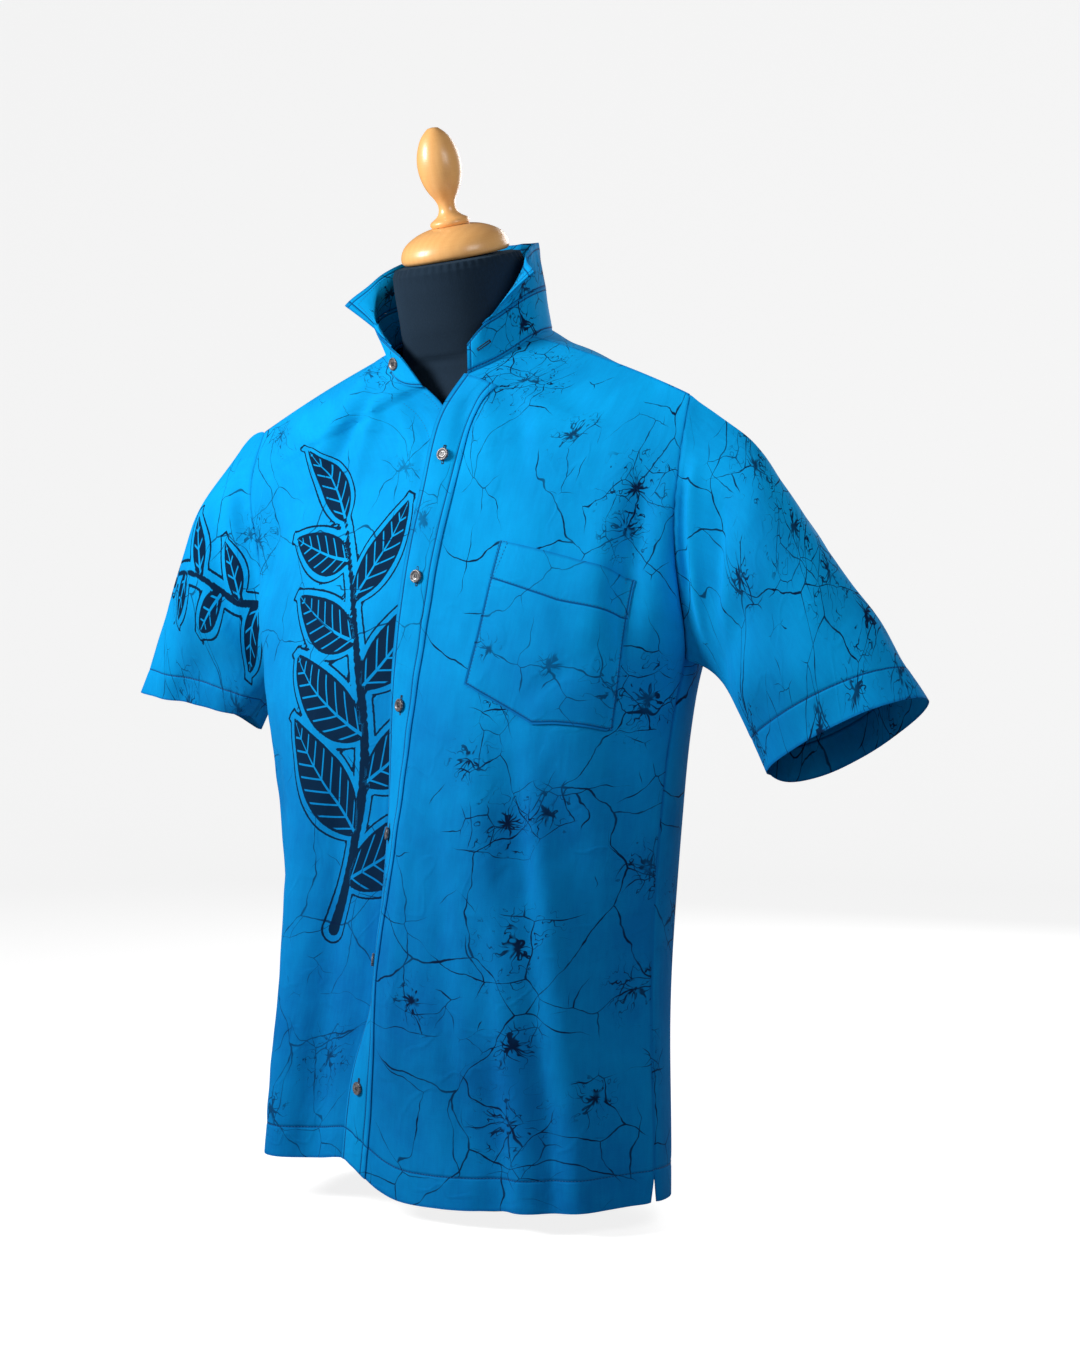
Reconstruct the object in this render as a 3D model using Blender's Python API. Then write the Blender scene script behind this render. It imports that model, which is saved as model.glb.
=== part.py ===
"""A short-sleeved batik shirt, open at the neck with its collar turned up, on a limbless dress form.

Lengths in the tables are millimetres and become metres where a mesh is made. +Z is up, the shirt
faces -Y, the wearer's left is +X, and the origin is the middle of the form's flat underside.
Each cut piece is a wall: a grid of points on its outer face, and the same grid moved inward.
"""

import math

import bmesh
import bpy
import numpy as np
from mathutils import Matrix, Vector
from mathutils.bvhtree import BVHTree

MM = 0.001

# Cloth
CLOTH = 1.2  # wall of every cut piece
SEAM_GAP = 0.3  # between neighbouring pieces
LAYER_GAP = 0.4  # between a piece and what lies on it
ARMHOLE_GAP = 0.45  # between the panels and a sleeve, where the cloth turns
POCKET_GAP = 0.9  # of the flat pocket over the round chest
LAP_MIDDLE = 70.0  # where the right front's curve to its side starts, beyond the edge
LAP_EASE = 1.7  # more room between the fronts where they spread at the neck
FAR = 600.0  # a distance outside the whole shirt
LAP_REACH = 5.0  # how far beyond its edge the left front still keeps the right one behind it
ROWS_BELOW = 9  # rows of the body from hem to armpit
ROWS_ABOVE = 8  # rows of the body from armpit to shoulder seam
STRIP_COLUMNS = 3  # columns across the width where the fronts lap
PANEL_COLUMNS = 9  # columns across the rest of a front, and across half of the back
CORNER = 0.75  # share of a panel's inner edge, above the armpit, where it meets the neck
NECK_ROW = ROWS_BELOW + int(round(CORNER * ROWS_ABOVE))
LINE_POINTS = 160  # of a row before it is divided into columns
SMOOTHING = 7.0  # roundness of the ridge beside the closing

# The body below the armpits, a row for each height. "edge" is the left front's free edge, "turn"
# is how far its closing strip is turned to the wearer's right, in degrees, and "sway" is how far
# both sides hang to the wearer's left.
LEVEL_COLUMNS = ("z", "edge_x", "edge_y", "turn", "right_y", "half_width", "sway", "side_y", "back_y")
LEVELS = (
    (10.0, -54.0, -96.0, 12.0, -104.0, 196.0, 17.0, 0.0, 111.0),
    (60.0, -50.0, -94.0, 14.0, -103.0, 195.0, 17.0, 1.0, 112.0),
    (105.0, -42.0, -92.0, 24.0, -101.0, 194.0, 15.0, 3.0, 115.0),
    (157.0, -27.0, -88.0, 44.0, -97.0, 193.0, 13.0, 5.0, 120.0),
    (205.0, -20.0, -86.0, 50.0, -94.0, 194.0, 10.0, 8.0, 126.0),
    (267.0, -14.0, -85.0, 45.0, -91.0, 198.0, 7.0, 10.0, 132.0),
    (357.0, -6.0, -86.0, 33.0, -89.0, 207.0, 4.0, 14.0, 135.0),
    (420.0, -4.0, -87.0, 18.0, -89.0, 218.0, 2.0, 15.0, 133.0),
    (475.0, -2.0, -87.0, 6.0, -89.0, 232.0, 0.0, 17.0, 130.0),
)
HEM_Z = 10.0
ARMPIT_Z = 475.0
ROUNDNESS = 0.62  # of the curve from the middle of a front or back to the side

# The hem's height above HEM_Z in the middle of each panel and at the sides, and how much more it
# rises where the fronts overlap
HEM_MIDDLE = {"left": 3.0, "right": 27.0, "back": 8.0}
HEM_SIDE = 15.0
RIGHT_HEM_SIDE = 29.0
RIGHT_HEM_CLOSING = 33.0
RIGHT_HEM_LAP_DROP = 10.0
RIGHT_HEM_WIDTH = 30.0
HEM_CLOSING = 30.0
HEM_CLOSING_WIDTH = 46.0

# The largest folds of the left front: distance from the ridge, width and depth
FOLD_COLUMNS = ("at_hem", "at_top", "top_z", "width", "depth")
LEFT_FOLDS = (
    (172.0, 118.0, 470.0, 22.0, 9.0),
)
FOLD_FADE = 2.2  # how quickly a fold reaches its depth below its top, in shares of its height

# Edges above the armpit, up to the collar's ends
LEFT_EDGE = ((-2.0, -87.0, 475.0), (3.0, -85.0, 522.0), (9.0, -78.0, 578.0), (15.5, -66.0, 635.0),
             (23.5, -53.0, 690.0), (45.0, -46.0, 720.5))
RIGHT_EDGE = ((27.0, -87.5, 475.0), (32.0, -82.5, 522.0), (38.0, -71.0, 578.0), (42.0, -58.5, 635.0),
              (37.0, -51.5, 668.0), (22.0, -48.5, 694.0), (2.0, -50.0, 711.5))
CENTRE_BACK = ((0.0, 130.0, 475.0), (0.0, 133.0, 540.0), (0.0, 128.0, 620.0), (0.0, 112.0, 700.0),
               (0.0, 93.0, 750.0), (0.0, 81.0, 771.0))

# The armhole from armpit to shoulder point, as the front and the back see it
ARMPIT_POINT = (232.0, 17.0, 475.0)
SHOULDER_POINT = (247.0, 1.0, 693.0)
FRONT_ARMHOLE = (ARMPIT_POINT, (241.0, 3.0, 497.0), (241.0, -11.0, 559.0), (249.0, -16.0, 640.0),
                 SHOULDER_POINT)
BACK_ARMHOLE = (ARMPIT_POINT, (239.0, 38.0, 497.0), (239.0, 56.0, 559.0), (247.0, 40.0, 640.0),
                SHOULDER_POINT)
SHOULDER_RISE = 5.0  # of the shoulder seam above a straight line
SHOULDER_INWARD = (-0.3, 0.0, -0.95)  # from the outer face to the inner one, at that seam
NECK_SLOPE = 0.8  # drop, for each unit toward the neck, of the same direction at the neck seam

# The collar's lines round the neck. Bearing runs from the back (0) to the wearer's left (+90).
NECK_CENTRE = (2.0, 10.0)
NECK_SIDE = 90.0  # bearing of the shoulder seams
RING_COLUMNS = ("bearing", "radius", "z")
NECK_LINE = ((-180.0, 62.0, 712.0), (-160.0, 67.0, 716.0), (-134.0, 69.0, 740.0), (-90.0, 71.0, 762.0),
             (-45.0, 72.0, 770.0), (0.0, 72.0, 772.0), (51.0, 72.0, 768.0), (90.0, 72.0, 756.0),
             (118.0, 74.0, 735.0), (141.0, 71.0, 721.0))
STAND_LINE = ((-160.0, 70.0, 741.0), (-146.0, 75.0, 753.0), (-127.0, 84.0, 771.0), (-88.0, 79.0, 797.0),
              (-45.0, 69.0, 806.0), (0.0, 66.0, 809.0), (51.0, 66.0, 806.0), (90.0, 66.0, 793.0),
              (116.0, 71.0, 775.0), (131.0, 77.0, 762.0))
LEAF_LINE = ((-113.0, 119.0, 795.0), (-108.0, 103.0, 811.0), (-97.0, 86.0, 830.0), (-75.0, 72.0, 843.0),
             (-40.0, 63.0, 850.0), (0.0, 60.0, 852.0), (48.0, 59.0, 846.0), (80.0, 61.0, 837.0),
             (98.0, 73.0, 824.0), (107.0, 102.0, 806.0))
STAND_END = (141.0, 71.0, 746.0)  # the left stand's rounded front corner
LEAF_START = 2  # columns of the stand left bare before the leaf at its button end
COLLAR_WALL = 1.8
COLLAR_COLUMNS = 26
STAND_ROWS = 4
LEAF_ROWS = 5

# Closing strip, pocket and buttons of the left front
STRIP_WIDTH = 35.0
UNDERLAP = 29.0  # of the right front below the left
POCKET_CORNER = (104.0, -80.0, 577.0)  # top corner next to the closing
POCKET_TURN = -11.0  # degrees that the pocket leans out of level
POCKET_WIDTH = 130.0
POCKET_SIDE = 124.0
POCKET_POINT = 141.0
POCKET_CELLS = 12
WALK_STEP = 4.0  # of a straight line laid on a panel
BUTTON_RADIUS = 5.75
BUTTON_THICKNESS = 2.2
BUTTON_SIDES = 14
BUTTON_COLUMNS = ("height", "radius")  # as shares of the thickness and the radius
BUTTON_PROFILE = ((0.0, 0.0), (0.0, 0.72), (0.45, 1.0), (0.85, 1.0), (1.0, 0.9), (1.0, 0.8),
                  (0.75, 0.62), (0.75, 0.0))
BUTTON_DISTANCE = 17.5  # from the free edge
BUTTON_HEIGHTS = (651.0, 546.0, 436.0, 326.0, 216.0, 106.0)
STAND_BUTTON = (-153.0, 0.45)  # bearing, and share of the stand's height

# The left sleeve: its crown and foot lines, and how far it bows to the front and the back
SLEEVE_COLUMNS = ("share", "crown_x", "crown_y", "crown_z", "foot_x", "foot_y", "foot_z",
                  "front_bow", "back_bow")
SLEEVE = (
    (0.00, 247.0, 1.0, 693.0, 232.0, 17.0, 475.0, 0.0, 0.0),
    (0.07, 269.0, 6.0, 684.0, 242.0, 20.0, 471.0, 50.0, 46.0),
    (0.14, 290.0, 10.0, 669.0, 251.0, 23.0, 466.0, 53.0, 47.0),
    (0.40, 343.0, 20.0, 599.0, 269.0, 32.0, 441.0, 54.0, 48.0),
    (0.70, 397.0, 31.0, 518.0, 283.0, 40.0, 411.0, 50.0, 45.0),
    (1.00, 446.0, 37.0, 444.0, 292.0, 46.0, 384.0, 44.0, 42.0),
)
SLEEVE_FORWARD = (0.12, -1.0, 0.1)  # the way a sleeve bows to the front
ARMHOLE_EASE = 0.35  # share of the sleeve over which the armhole's shape becomes the sleeve's
ROW_SPACING = 1.15  # power that sets the rings a little closer near the armhole
FULLER_CROWN = 0.22  # how much more a sleeve bows near its crown than near its foot
# What differs between the left sleeve (1) and the right one (-1)
FOOT_SHIFT = {1: (11.0, -12.0, -3.0), -1: (20.0, -3.0, 38.0)}  # of the foot line at the cuff
CROWN_LIFT = {1: -8.0, -1: 9.0}  # of the crown line just below the shoulder
CROWN_LIFT_SHARE = 0.13  # where that is
FLATTER_FRONT = {1: 0.0, -1: 0.25}  # share of the front bow lost at the cuff
SQUARER_FOOT = {1: 0.0, -1: 0.45}  # of the cuff's lower half: 0 is oval, 1 is square
BACK_DROP = {1: 20.0, -1: 22.0}  # of the cuff's back edge below its front edge
DROP_POWER = {1: 0.8, -1: 2.0}  # how far that drop keeps to the foot: 0 is all over
SLEEVE_ROWS = 8
SLEEVE_HALF = 10  # columns on the front and on the back of a sleeve

# The dress form, rings from its underside up. "lean" tilts a ring forward, in degrees.
FORM_COLUMNS = ("z", "half_width", "front_y", "back_y", "lean")
FORM = (
    (18.3, 64.0, -32.0, 48.0, 0.0),
    (34.0, 70.0, -36.0, 52.0, 0.0),
    (48.0, 112.0, -54.0, 70.0, 0.0),
    (62.0, 152.0, -68.0, 84.0, 0.0),
    (110.0, 164.0, -72.0, 92.0, 0.0),
    (200.0, 156.0, -68.0, 90.0, 0.0),
    (270.0, 144.0, -64.0, 84.0, 0.0),
    (360.0, 158.0, -70.0, 102.0, 0.0),
    (450.0, 174.0, -78.0, 114.0, 0.0),
    (540.0, 178.0, -60.0, 108.0, 0.0),
    (620.0, 180.0, -45.0, 96.0, 0.0),
    (675.0, 178.0, -36.0, 78.0, 0.0),
    (705.0, 162.0, -36.0, 68.0, 0.0),
    (725.0, 126.0, -34.0, 66.0, 2.0),
    (741.0, 83.5, -35.5, 66.0, 5.0),
    (748.0, 63.0, -38.0, 68.0, 8.0),
    (772.0, 58.0, -46.0, 66.0, 12.0),
    (820.5, 56.5, -60.0, 53.0, 15.0),
    (828.0, 53.0, -58.0, 48.0, 15.0),
    (829.5, 46.0, -52.0, 41.0, 15.0),
)
FORM_SIDES = 32
FORM_POWER = 2.2
BASE_HEIGHT = 18.0
BASE_HALF = (78.0, 52.0)
BASE_CENTRE_Y = 8.0
BASE_SIDES = 36

# The turned cap and finial: distance along their axis, radius
LEAN = 16.5
CAP_SEAT = (-1.0, -6.5, 836.6)
TURNED_COLUMNS = ("along", "radius")
CAP = ((-5.5, 0.0), (-5.5, 45.5), (-3.5, 47.8), (0.5, 48.4), (5.5, 47.0), (10.5, 43.6), (15.0, 37.8),
       (18.8, 30.0), (21.2, 22.0), (22.0, 17.6), (22.0, 0.0))
FINIAL = ((22.3, 0.0), (22.3, 16.4), (24.2, 17.6), (26.6, 17.2), (28.6, 14.6), (31.5, 10.4),
          (36.0, 7.9), (40.5, 7.6), (45.0, 9.0), (52.0, 13.2), (61.0, 17.2), (72.0, 19.2),
          (84.0, 18.4), (94.0, 15.2), (102.0, 10.4), (106.5, 5.6), (108.0, 0.0))
TURNED_SIDES = 28

COLOURS = {
    "cloth": (0.004, 0.30, 0.66, 1.0),
    "cloth_shade": (0.003, 0.22, 0.50, 1.0),
    "jersey": (0.012, 0.020, 0.028, 1.0),
    "wood": (0.72, 0.42, 0.18, 1.0),
    "button": (0.12, 0.10, 0.09, 1.0),
}
ROUGHNESS = {"cloth": 0.85, "cloth_shade": 0.85, "jersey": 0.9, "wood": 0.4, "button": 0.35}


def unit(vectors):
    """Vectors at length one."""
    vectors = np.asarray(vectors, float)
    return vectors / np.maximum(np.linalg.norm(vectors, axis=-1, keepdims=True), 1e-9)


def spline(knots, values, at):
    """Natural cubic spline through the values, read at each place."""
    knots = np.asarray(knots, float)
    values = np.asarray(values, float)
    at = np.clip(np.asarray(at, float), knots[0], knots[-1])
    step = np.diff(knots)
    system = np.eye(len(knots))
    right = np.zeros_like(values)
    for i in range(1, len(knots) - 1):
        system[i, i - 1:i + 2] = step[i - 1], 2 * (step[i - 1] + step[i]), step[i]
        right[i] = 6 * ((values[i + 1] - values[i]) / step[i] - (values[i] - values[i - 1]) / step[i - 1])
    bend = np.linalg.solve(system, right)
    i = np.clip(np.searchsorted(knots, at, "right") - 1, 0, len(step) - 1)
    after, before, h = at - knots[i], knots[i + 1] - at, step[i]
    if values.ndim == 2:
        after, before, h = after[..., None], before[..., None], h[..., None]
    return ((bend[i + 1] * after ** 3 + bend[i] * before ** 3) / (6 * h)
            + (values[i] / h - bend[i] * h / 6) * before + (values[i + 1] / h - bend[i + 1] * h / 6) * after)


def column(table, names, name):
    """Values of one named column of a table."""
    return [row[names.index(name)] for row in table]


def level(name, z):
    """One named column of the levels, at height z."""
    return float(spline(column(LEVELS, LEVEL_COLUMNS, "z"), column(LEVELS, LEVEL_COLUMNS, name), z))


def lengths(points):
    """Distance along a line of points, at each point."""
    return np.concatenate([[0], np.cumsum(np.linalg.norm(np.diff(points, axis=0), axis=1))])


def along(points, at):
    """Points of a line at these distances along it."""
    run = lengths(points)
    return np.stack([np.interp(at, run, points[:, k]) for k in range(3)], -1)


def smooth_path(points, count=240):
    """A smooth line through points, evenly divided."""
    points = np.asarray(points, float)
    run = lengths(points)
    fine = spline(run, points, np.linspace(0, run[-1], 4 * count))
    return along(fine, np.linspace(0, lengths(fine)[-1], count))


def ring(table, shares=None, first=0.0, last=1.0, count=240):
    """Points of one of the collar's lines, at shares of its length, or evenly between two shares."""
    bearing, radius, z = (np.array(column(table, RING_COLUMNS, name)) for name in RING_COLUMNS)
    angle = np.radians(bearing)
    path = smooth_path(np.stack([NECK_CENTRE[0] + radius * np.sin(angle),
                                 NECK_CENTRE[1] + radius * np.cos(angle), z], -1), 400)
    if shares is None:
        shares = np.linspace(first, last, count)
    return along(path, np.asarray(shares) * lengths(path)[-1])


def neck_part(start, end):
    """The neck line's points between two bearings, from the first to the second."""
    points = ring(NECK_LINE)
    bearing = np.degrees(np.arctan2(points[:, 0] - NECK_CENTRE[0], points[:, 1] - NECK_CENTRE[1]))
    in_first_half = np.arange(len(bearing)) < len(bearing) / 2
    bearing = np.where((bearing > 0) & in_first_half, bearing - 360, bearing)
    slack = 0.3
    low, high = min(start, end) - slack, max(start, end) + slack
    inside = points[(bearing >= low) & (bearing <= high)]
    return inside if start < end else inside[::-1]


def rounded(points, width):
    """A line of evenly spaced points with its corners rounded off."""
    gap = lengths(points)[-1] / (len(points) - 1)
    reach = max(1, int(round(2.5 * width / gap)))
    weight = np.exp(-0.5 * (np.arange(-reach, reach + 1) * gap / width) ** 2)
    weight /= weight.sum()
    head = 2 * points[0] - points[reach:0:-1]
    tail = 2 * points[-1] - points[-2:-reach - 2:-1]
    longer = np.vstack([head, points, tail])
    return np.stack([np.convolve(longer[:, k], weight, "valid") for k in range(3)], -1)


def bezier(start, start_way, end, end_way):
    """A curve from start to end that leaves and arrives in the given directions."""
    s = np.linspace(0, 1, LINE_POINTS)[:, None]
    return ((1 - s) ** 3 * start + 3 * (1 - s) ** 2 * s * (start + start_way)
            + 3 * (1 - s) * s ** 2 * (end - end_way) + s ** 3 * end)


def side_curve(start, end, upward, lift):
    """A row from the middle of a panel to its side. Upward runs from 0 at the armpit to 1."""
    chord = end - start
    bowed = 1 - upward ** 1.5
    leave = ROUNDNESS * np.array([chord[0], 0, chord[2]]) * bowed + chord / 3 * (1 - bowed)
    arrive = ROUNDNESS * np.array([0, chord[1], 0]) * bowed + chord / 3 * (1 - bowed)
    arrive = arrive + np.array([0, 0, -lift])
    return bezier(start, leave + np.array([0, 0, lift]), end, arrive)


def edge_paths():
    """Each panel edge above the armpit, as one line, or as two that meet at the neck's corner."""
    first, last = NECK_LINE[0][0], NECK_LINE[-1][0]
    return {
        "left": (smooth_path(LEFT_EDGE), neck_part(last, NECK_SIDE)),
        "right": (smooth_path(RIGHT_EDGE), neck_part(first, -NECK_SIDE)),
        "back": (smooth_path(CENTRE_BACK), neck_part(0.0, NECK_SIDE)),
        "front_armhole": (smooth_path(FRONT_ARMHOLE),),
        "back_armhole": (smooth_path(BACK_ARMHOLE),),
    }


def path_point(name, share):
    """Point of a panel's inner or outer edge above the armpit, at a share of its length."""
    line = PATHS[name][0]
    if len(PATHS[name]) == 2 and share > CORNER:
        line = PATHS[name][1]
        share = (share - CORNER) / (1 - CORNER)
    elif len(PATHS[name]) == 2:
        share = share / CORNER
    return along(line, np.array([share * lengths(line)[-1]]))[0]


def body_row(panel, t):
    """Outer face of one row, from the middle to the side. t is 0 at the hem, 1 at the armpit, 2 at
    the shoulder. The right front is given as a left one, mirrored later."""
    if t > 1:
        up = t - 1
        start = path_point(panel, up)
        end = path_point("back_armhole" if panel == "back" else "front_armhole", up)
        if panel == "right":
            start = start * (-1, 1, 1)
        return side_curve(start, end, up, SHOULDER_RISE * up ** 3)
    z = HEM_Z + t * (ARMPIT_Z - HEM_Z)
    side = np.array([level("half_width", z), level("side_y", z), z])
    if panel == "back":
        return side_curve(np.array([0.0, level("back_y", z), z]), side, 0.0, 0.0)
    edge = np.array([level("edge_x", z), level("edge_y", z), z])
    turn = math.radians(level("turn", z))
    across = np.array([math.cos(turn), -math.sin(turn), 0.0])
    if panel == "left":
        curve = side_curve(edge + across * STRIP_WIDTH, side, 0.0, 0.0)
        line = np.vstack([edge[None], curve])
    else:
        inward = np.array([math.sin(turn), math.cos(turn), 0.0]) * (CLOTH + LAYER_GAP)
        under = (edge + across * UNDERLAP + inward) * (-1, 1, 1)
        below = (edge + inward) * (-1, 1, 1)
        middle = np.array([LAP_MIDDLE - edge[0], level("right_y", z), z])
        line = np.vstack([under, below, side_curve(middle, side, 0.0, 0.0)])
    even = along(line, np.linspace(0, lengths(line)[-1], LINE_POINTS))
    return rounded(even, SMOOTHING)


def fold_depth(z, distance):
    """How far the largest folds of the left front sink at a height, by distance from the edge."""
    sink = np.zeros_like(distance)
    for row in LEFT_FOLDS:
        at_hem, at_top, top_z, width, depth = row
        share = (z - HEM_Z) / (top_z - HEM_Z)
        if share < 1:
            place = at_hem + (at_top - at_hem) * share
            fade = math.sin(math.pi / 2 * min(1.0, FOLD_FADE * (1 - share)))
            sink += depth * fade * np.exp(-((distance - place) / width) ** 2)
    return sink


def hem_lift(panel, distance, total):
    """How far the hem is above HEM_Z, by distance from the middle of a panel."""
    middle = HEM_MIDDLE[panel]
    side = RIGHT_HEM_SIDE if panel == "right" else HEM_SIDE
    lift = middle + (side - middle) * (distance / total) ** 2
    if panel == "back":
        return lift
    if panel == "right":
        closing = RIGHT_HEM_CLOSING - RIGHT_HEM_LAP_DROP * np.clip(1 - distance / UNDERLAP, 0, 1)
        near = np.exp(-(np.maximum(distance - UNDERLAP, 0) / RIGHT_HEM_WIDTH) ** 2)
        return lift + (closing - lift) * near
    return lift + HEM_CLOSING * np.exp(-(distance / HEM_CLOSING_WIDTH) ** 2)


def row_columns(panel, total):
    """Distances along a row where its columns stand."""
    if panel == "back":
        return np.linspace(0, total, PANEL_COLUMNS + 1)
    lap = np.linspace(0, UNDERLAP, STRIP_COLUMNS + 1)
    if panel == "left":
        return np.concatenate([lap, np.linspace(STRIP_WIDTH, total, PANEL_COLUMNS + 1)])
    return np.concatenate([lap, np.linspace(UNDERLAP, total, PANEL_COLUMNS + 1)[1:]])


def panel_grid(panel):
    """Outer face of a front or of half the back, rows from hem to shoulder seam."""
    below = np.linspace(0, 1, ROWS_BELOW + 1)
    above = 1 + np.linspace(0, 1, ROWS_ABOVE + 1)
    places = np.concatenate([below, above[1:]])
    grid = []
    for t in places:
        line = body_row(panel, t)
        total = lengths(line)[-1]
        distance = row_columns(panel, total)
        points = along(line, distance)
        if t < 1:
            points[:, 2] += hem_lift(panel, distance, total) * (1 - t) ** 2
            if panel == "left":
                tangent = unit(np.gradient(points, axis=0))
                inward = np.stack([-tangent[:, 1], tangent[:, 0], np.zeros(len(points))], -1)
                points += inward * fold_depth(points[0, 2], distance)[:, None]
        grid.append(points)
    return np.array(grid)


def normals(grid):
    """Outward direction at each point of a grid whose rows run up and columns run leftward."""
    up = np.gradient(grid, axis=0)
    across = np.gradient(grid, axis=1)
    return unit(np.cross(across, up))


def add_object(name, vertices, faces, material):
    """A named object from points in millimetres, its faces turned outward."""
    mesh = bpy.data.meshes.new(name)
    mesh.from_pydata([tuple(np.asarray(v) * MM) for v in vertices], [], faces)
    shape = bmesh.new()
    shape.from_mesh(mesh)
    bmesh.ops.recalc_face_normals(shape, faces=shape.faces[:])
    bmesh.ops.triangulate(shape, faces=shape.faces[:])
    shape.to_mesh(mesh)
    shape.free()
    mesh.materials.append(MATERIALS[material])
    mesh.shade_smooth()
    mesh.set_sharp_from_angle(angle=math.radians(50))
    thing = bpy.data.objects.new(name, mesh)
    bpy.context.scene.collection.objects.link(thing)
    return thing


def grid_triangles(rows, columns, closed=False, mirrored=False):
    """Triangles of a grid's cells. Mirrored cells are cut along the other diagonal."""
    triangles = []
    for i in range(rows - 1):
        for j in range(columns if closed else columns - 1):
            k = (j + 1) % columns
            a, b = i * columns + j, i * columns + k
            c, d = b + columns, a + columns
            triangles += [(a, b, d), (b, c, d)] if mirrored else [(a, b, c), (a, c, d)]
    return triangles


def add_wall(name, outer, inner, triangles, material):
    """A wall between two like sets of points, closed along every free edge."""
    outer, inner = outer.reshape(-1, 3), inner.reshape(-1, 3)
    used = sorted({v for triangle in triangles for v in triangle})
    new = {v: k for k, v in enumerate(used)}
    half = len(used)
    faces = [tuple(new[v] for v in triangle) for triangle in triangles]
    free = {}
    for a, b, c in faces:
        for edge in ((a, b), (b, c), (c, a)):
            if edge[::-1] in free:
                del free[edge[::-1]]
            else:
                free[edge] = True
    faces += [tuple(half + v for v in reversed(face)) for face in faces[:]]
    faces += [(b, a, half + a, half + b) for a, b in free]
    return add_object(name, np.vstack([outer[used], inner[used]]), faces, material)


def toward_armhole_middle(points):
    """Inward direction at the armhole's edge, the same for a panel and its sleeve."""
    ring_points = np.vstack([path_point("front_armhole", s) for s in np.linspace(0, 1, 20)]
                            + [path_point("back_armhole", s) for s in np.linspace(0, 1, 20)])
    return unit(ring_points.mean(axis=0) - points)


def toward_neck(points):
    """Inward direction at the neck seam, the same for a panel and the collar stand."""
    middle = np.array([NECK_CENTRE[0], NECK_CENTRE[1], 0.0])
    flat = unit((middle - points) * (1, 1, 0))
    return unit(flat - np.array([0, 0, NECK_SLOPE]))


def panel_inward(panel, grid):
    """Inward direction at each point of a panel, matched to its neighbours along the seams."""
    inward = -normals(grid) if panel != "back" else -normals(grid[:, ::-1])[:, ::-1]
    inward[:ROWS_BELOW + 1, -1] = (-1, 0, 0)
    inward[ROWS_BELOW + 1:, -1] = toward_armhole_middle(grid[ROWS_BELOW + 1:, -1])
    inward[-1] = unit(SHOULDER_INWARD)
    inward[-1, -1] = toward_armhole_middle(grid[-1, -1])
    inward[NECK_ROW:, 0] = toward_neck(grid[NECK_ROW:, 0])
    if panel == "back":
        inward[:NECK_ROW, 0] = unit(inward[:NECK_ROW, 0] * (0, 1, 1))
    return inward


def sway(grid):
    """A panel's grid after its part below the armpits has swung to the wearer's left."""
    grid = grid.copy()
    for i in range(ROWS_BELOW):
        z = HEM_Z + i / ROWS_BELOW * (ARMPIT_Z - HEM_Z)
        grid[i, :, 0] += level("sway", z) * (grid[i, :, 0] / level("half_width", z)) ** 2
    return grid


def seam_shift(panel, grid):
    """Moves a panel's seam edges half a seam's gap back from its neighbours."""
    half = SEAM_GAP / 2
    side = half if panel == "back" else -half
    grid = grid.copy()
    grid[:ROWS_BELOW + 1, -1, 1] += side
    grid[-1, :, 1] += side
    grid[ROWS_BELOW + 1:, -1, 0] -= half
    return grid


def surface_tree(grid):
    """Search tree of a grid's triangles."""
    rows, columns = grid.shape[:2]
    return BVHTree.FromPolygons([Vector(p) for p in grid.reshape(-1, 3)], grid_triangles(rows, columns))


def keep_behind(grid, cover, depth):
    """Moves the points of a grid that lie under a cover at least a depth behind it."""
    tree = surface_tree(cover)
    grid = grid.copy()
    for i in range(ROWS_BELOW + 1, grid.shape[0]):
        for j in range(grid.shape[1]):
            x, y, z = grid[i, j]
            for aside in (0.0, LAP_REACH, -LAP_REACH):
                hit = tree.ray_cast(Vector((x + aside, -FAR, z)), Vector((0, 1, 0)))[0]
                if hit is not None and hit.y < NECK_CENTRE[1]:
                    grid[i, j, 1] = max(grid[i, j, 1], hit.y + depth)
    return grid


def front_panels():
    """The two fronts. The right one laps under the left, on points taken from it.

    Returns the left front's grid, which carries the closing strip and the pocket.
    """
    left = seam_shift("left", panel_grid("left"))
    inward = panel_inward("left", left)
    left = sway(left)
    rows, columns = left.shape[:2]
    add_wall("front_left", left, left + inward * CLOTH, grid_triangles(rows, columns), "cloth")

    right = seam_shift("right", panel_grid("right"))
    right_inward = panel_inward("right", right) * (-1, 1, 1)
    right = sway(right * (-1, 1, 1))
    lap = STRIP_COLUMNS + 1
    below = slice(0, ROWS_BELOW + 1)
    right[below, :lap] = (left + inward * (CLOTH + LAYER_GAP))[below, :lap][:, ::-1]
    right_inward[below, :lap] = inward[below, :lap][:, ::-1]
    right = keep_behind(right, left, (CLOTH + LAYER_GAP) * LAP_EASE)
    rows, columns = right.shape[:2]
    add_wall("front_right", right, right + right_inward * CLOTH,
             grid_triangles(rows, columns, mirrored=True), "cloth")
    return left


def right_half(half):
    """The back's half for the wearer's right, whose hem rises to meet the right front's."""
    grid = half.copy()
    share = np.linspace(0, 1, grid.shape[1]) ** 2
    for i in range(ROWS_BELOW):
        grid[i, :, 2] += (RIGHT_HEM_SIDE - HEM_SIDE) * share * (1 - i / ROWS_BELOW) ** 2
    return grid


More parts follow.
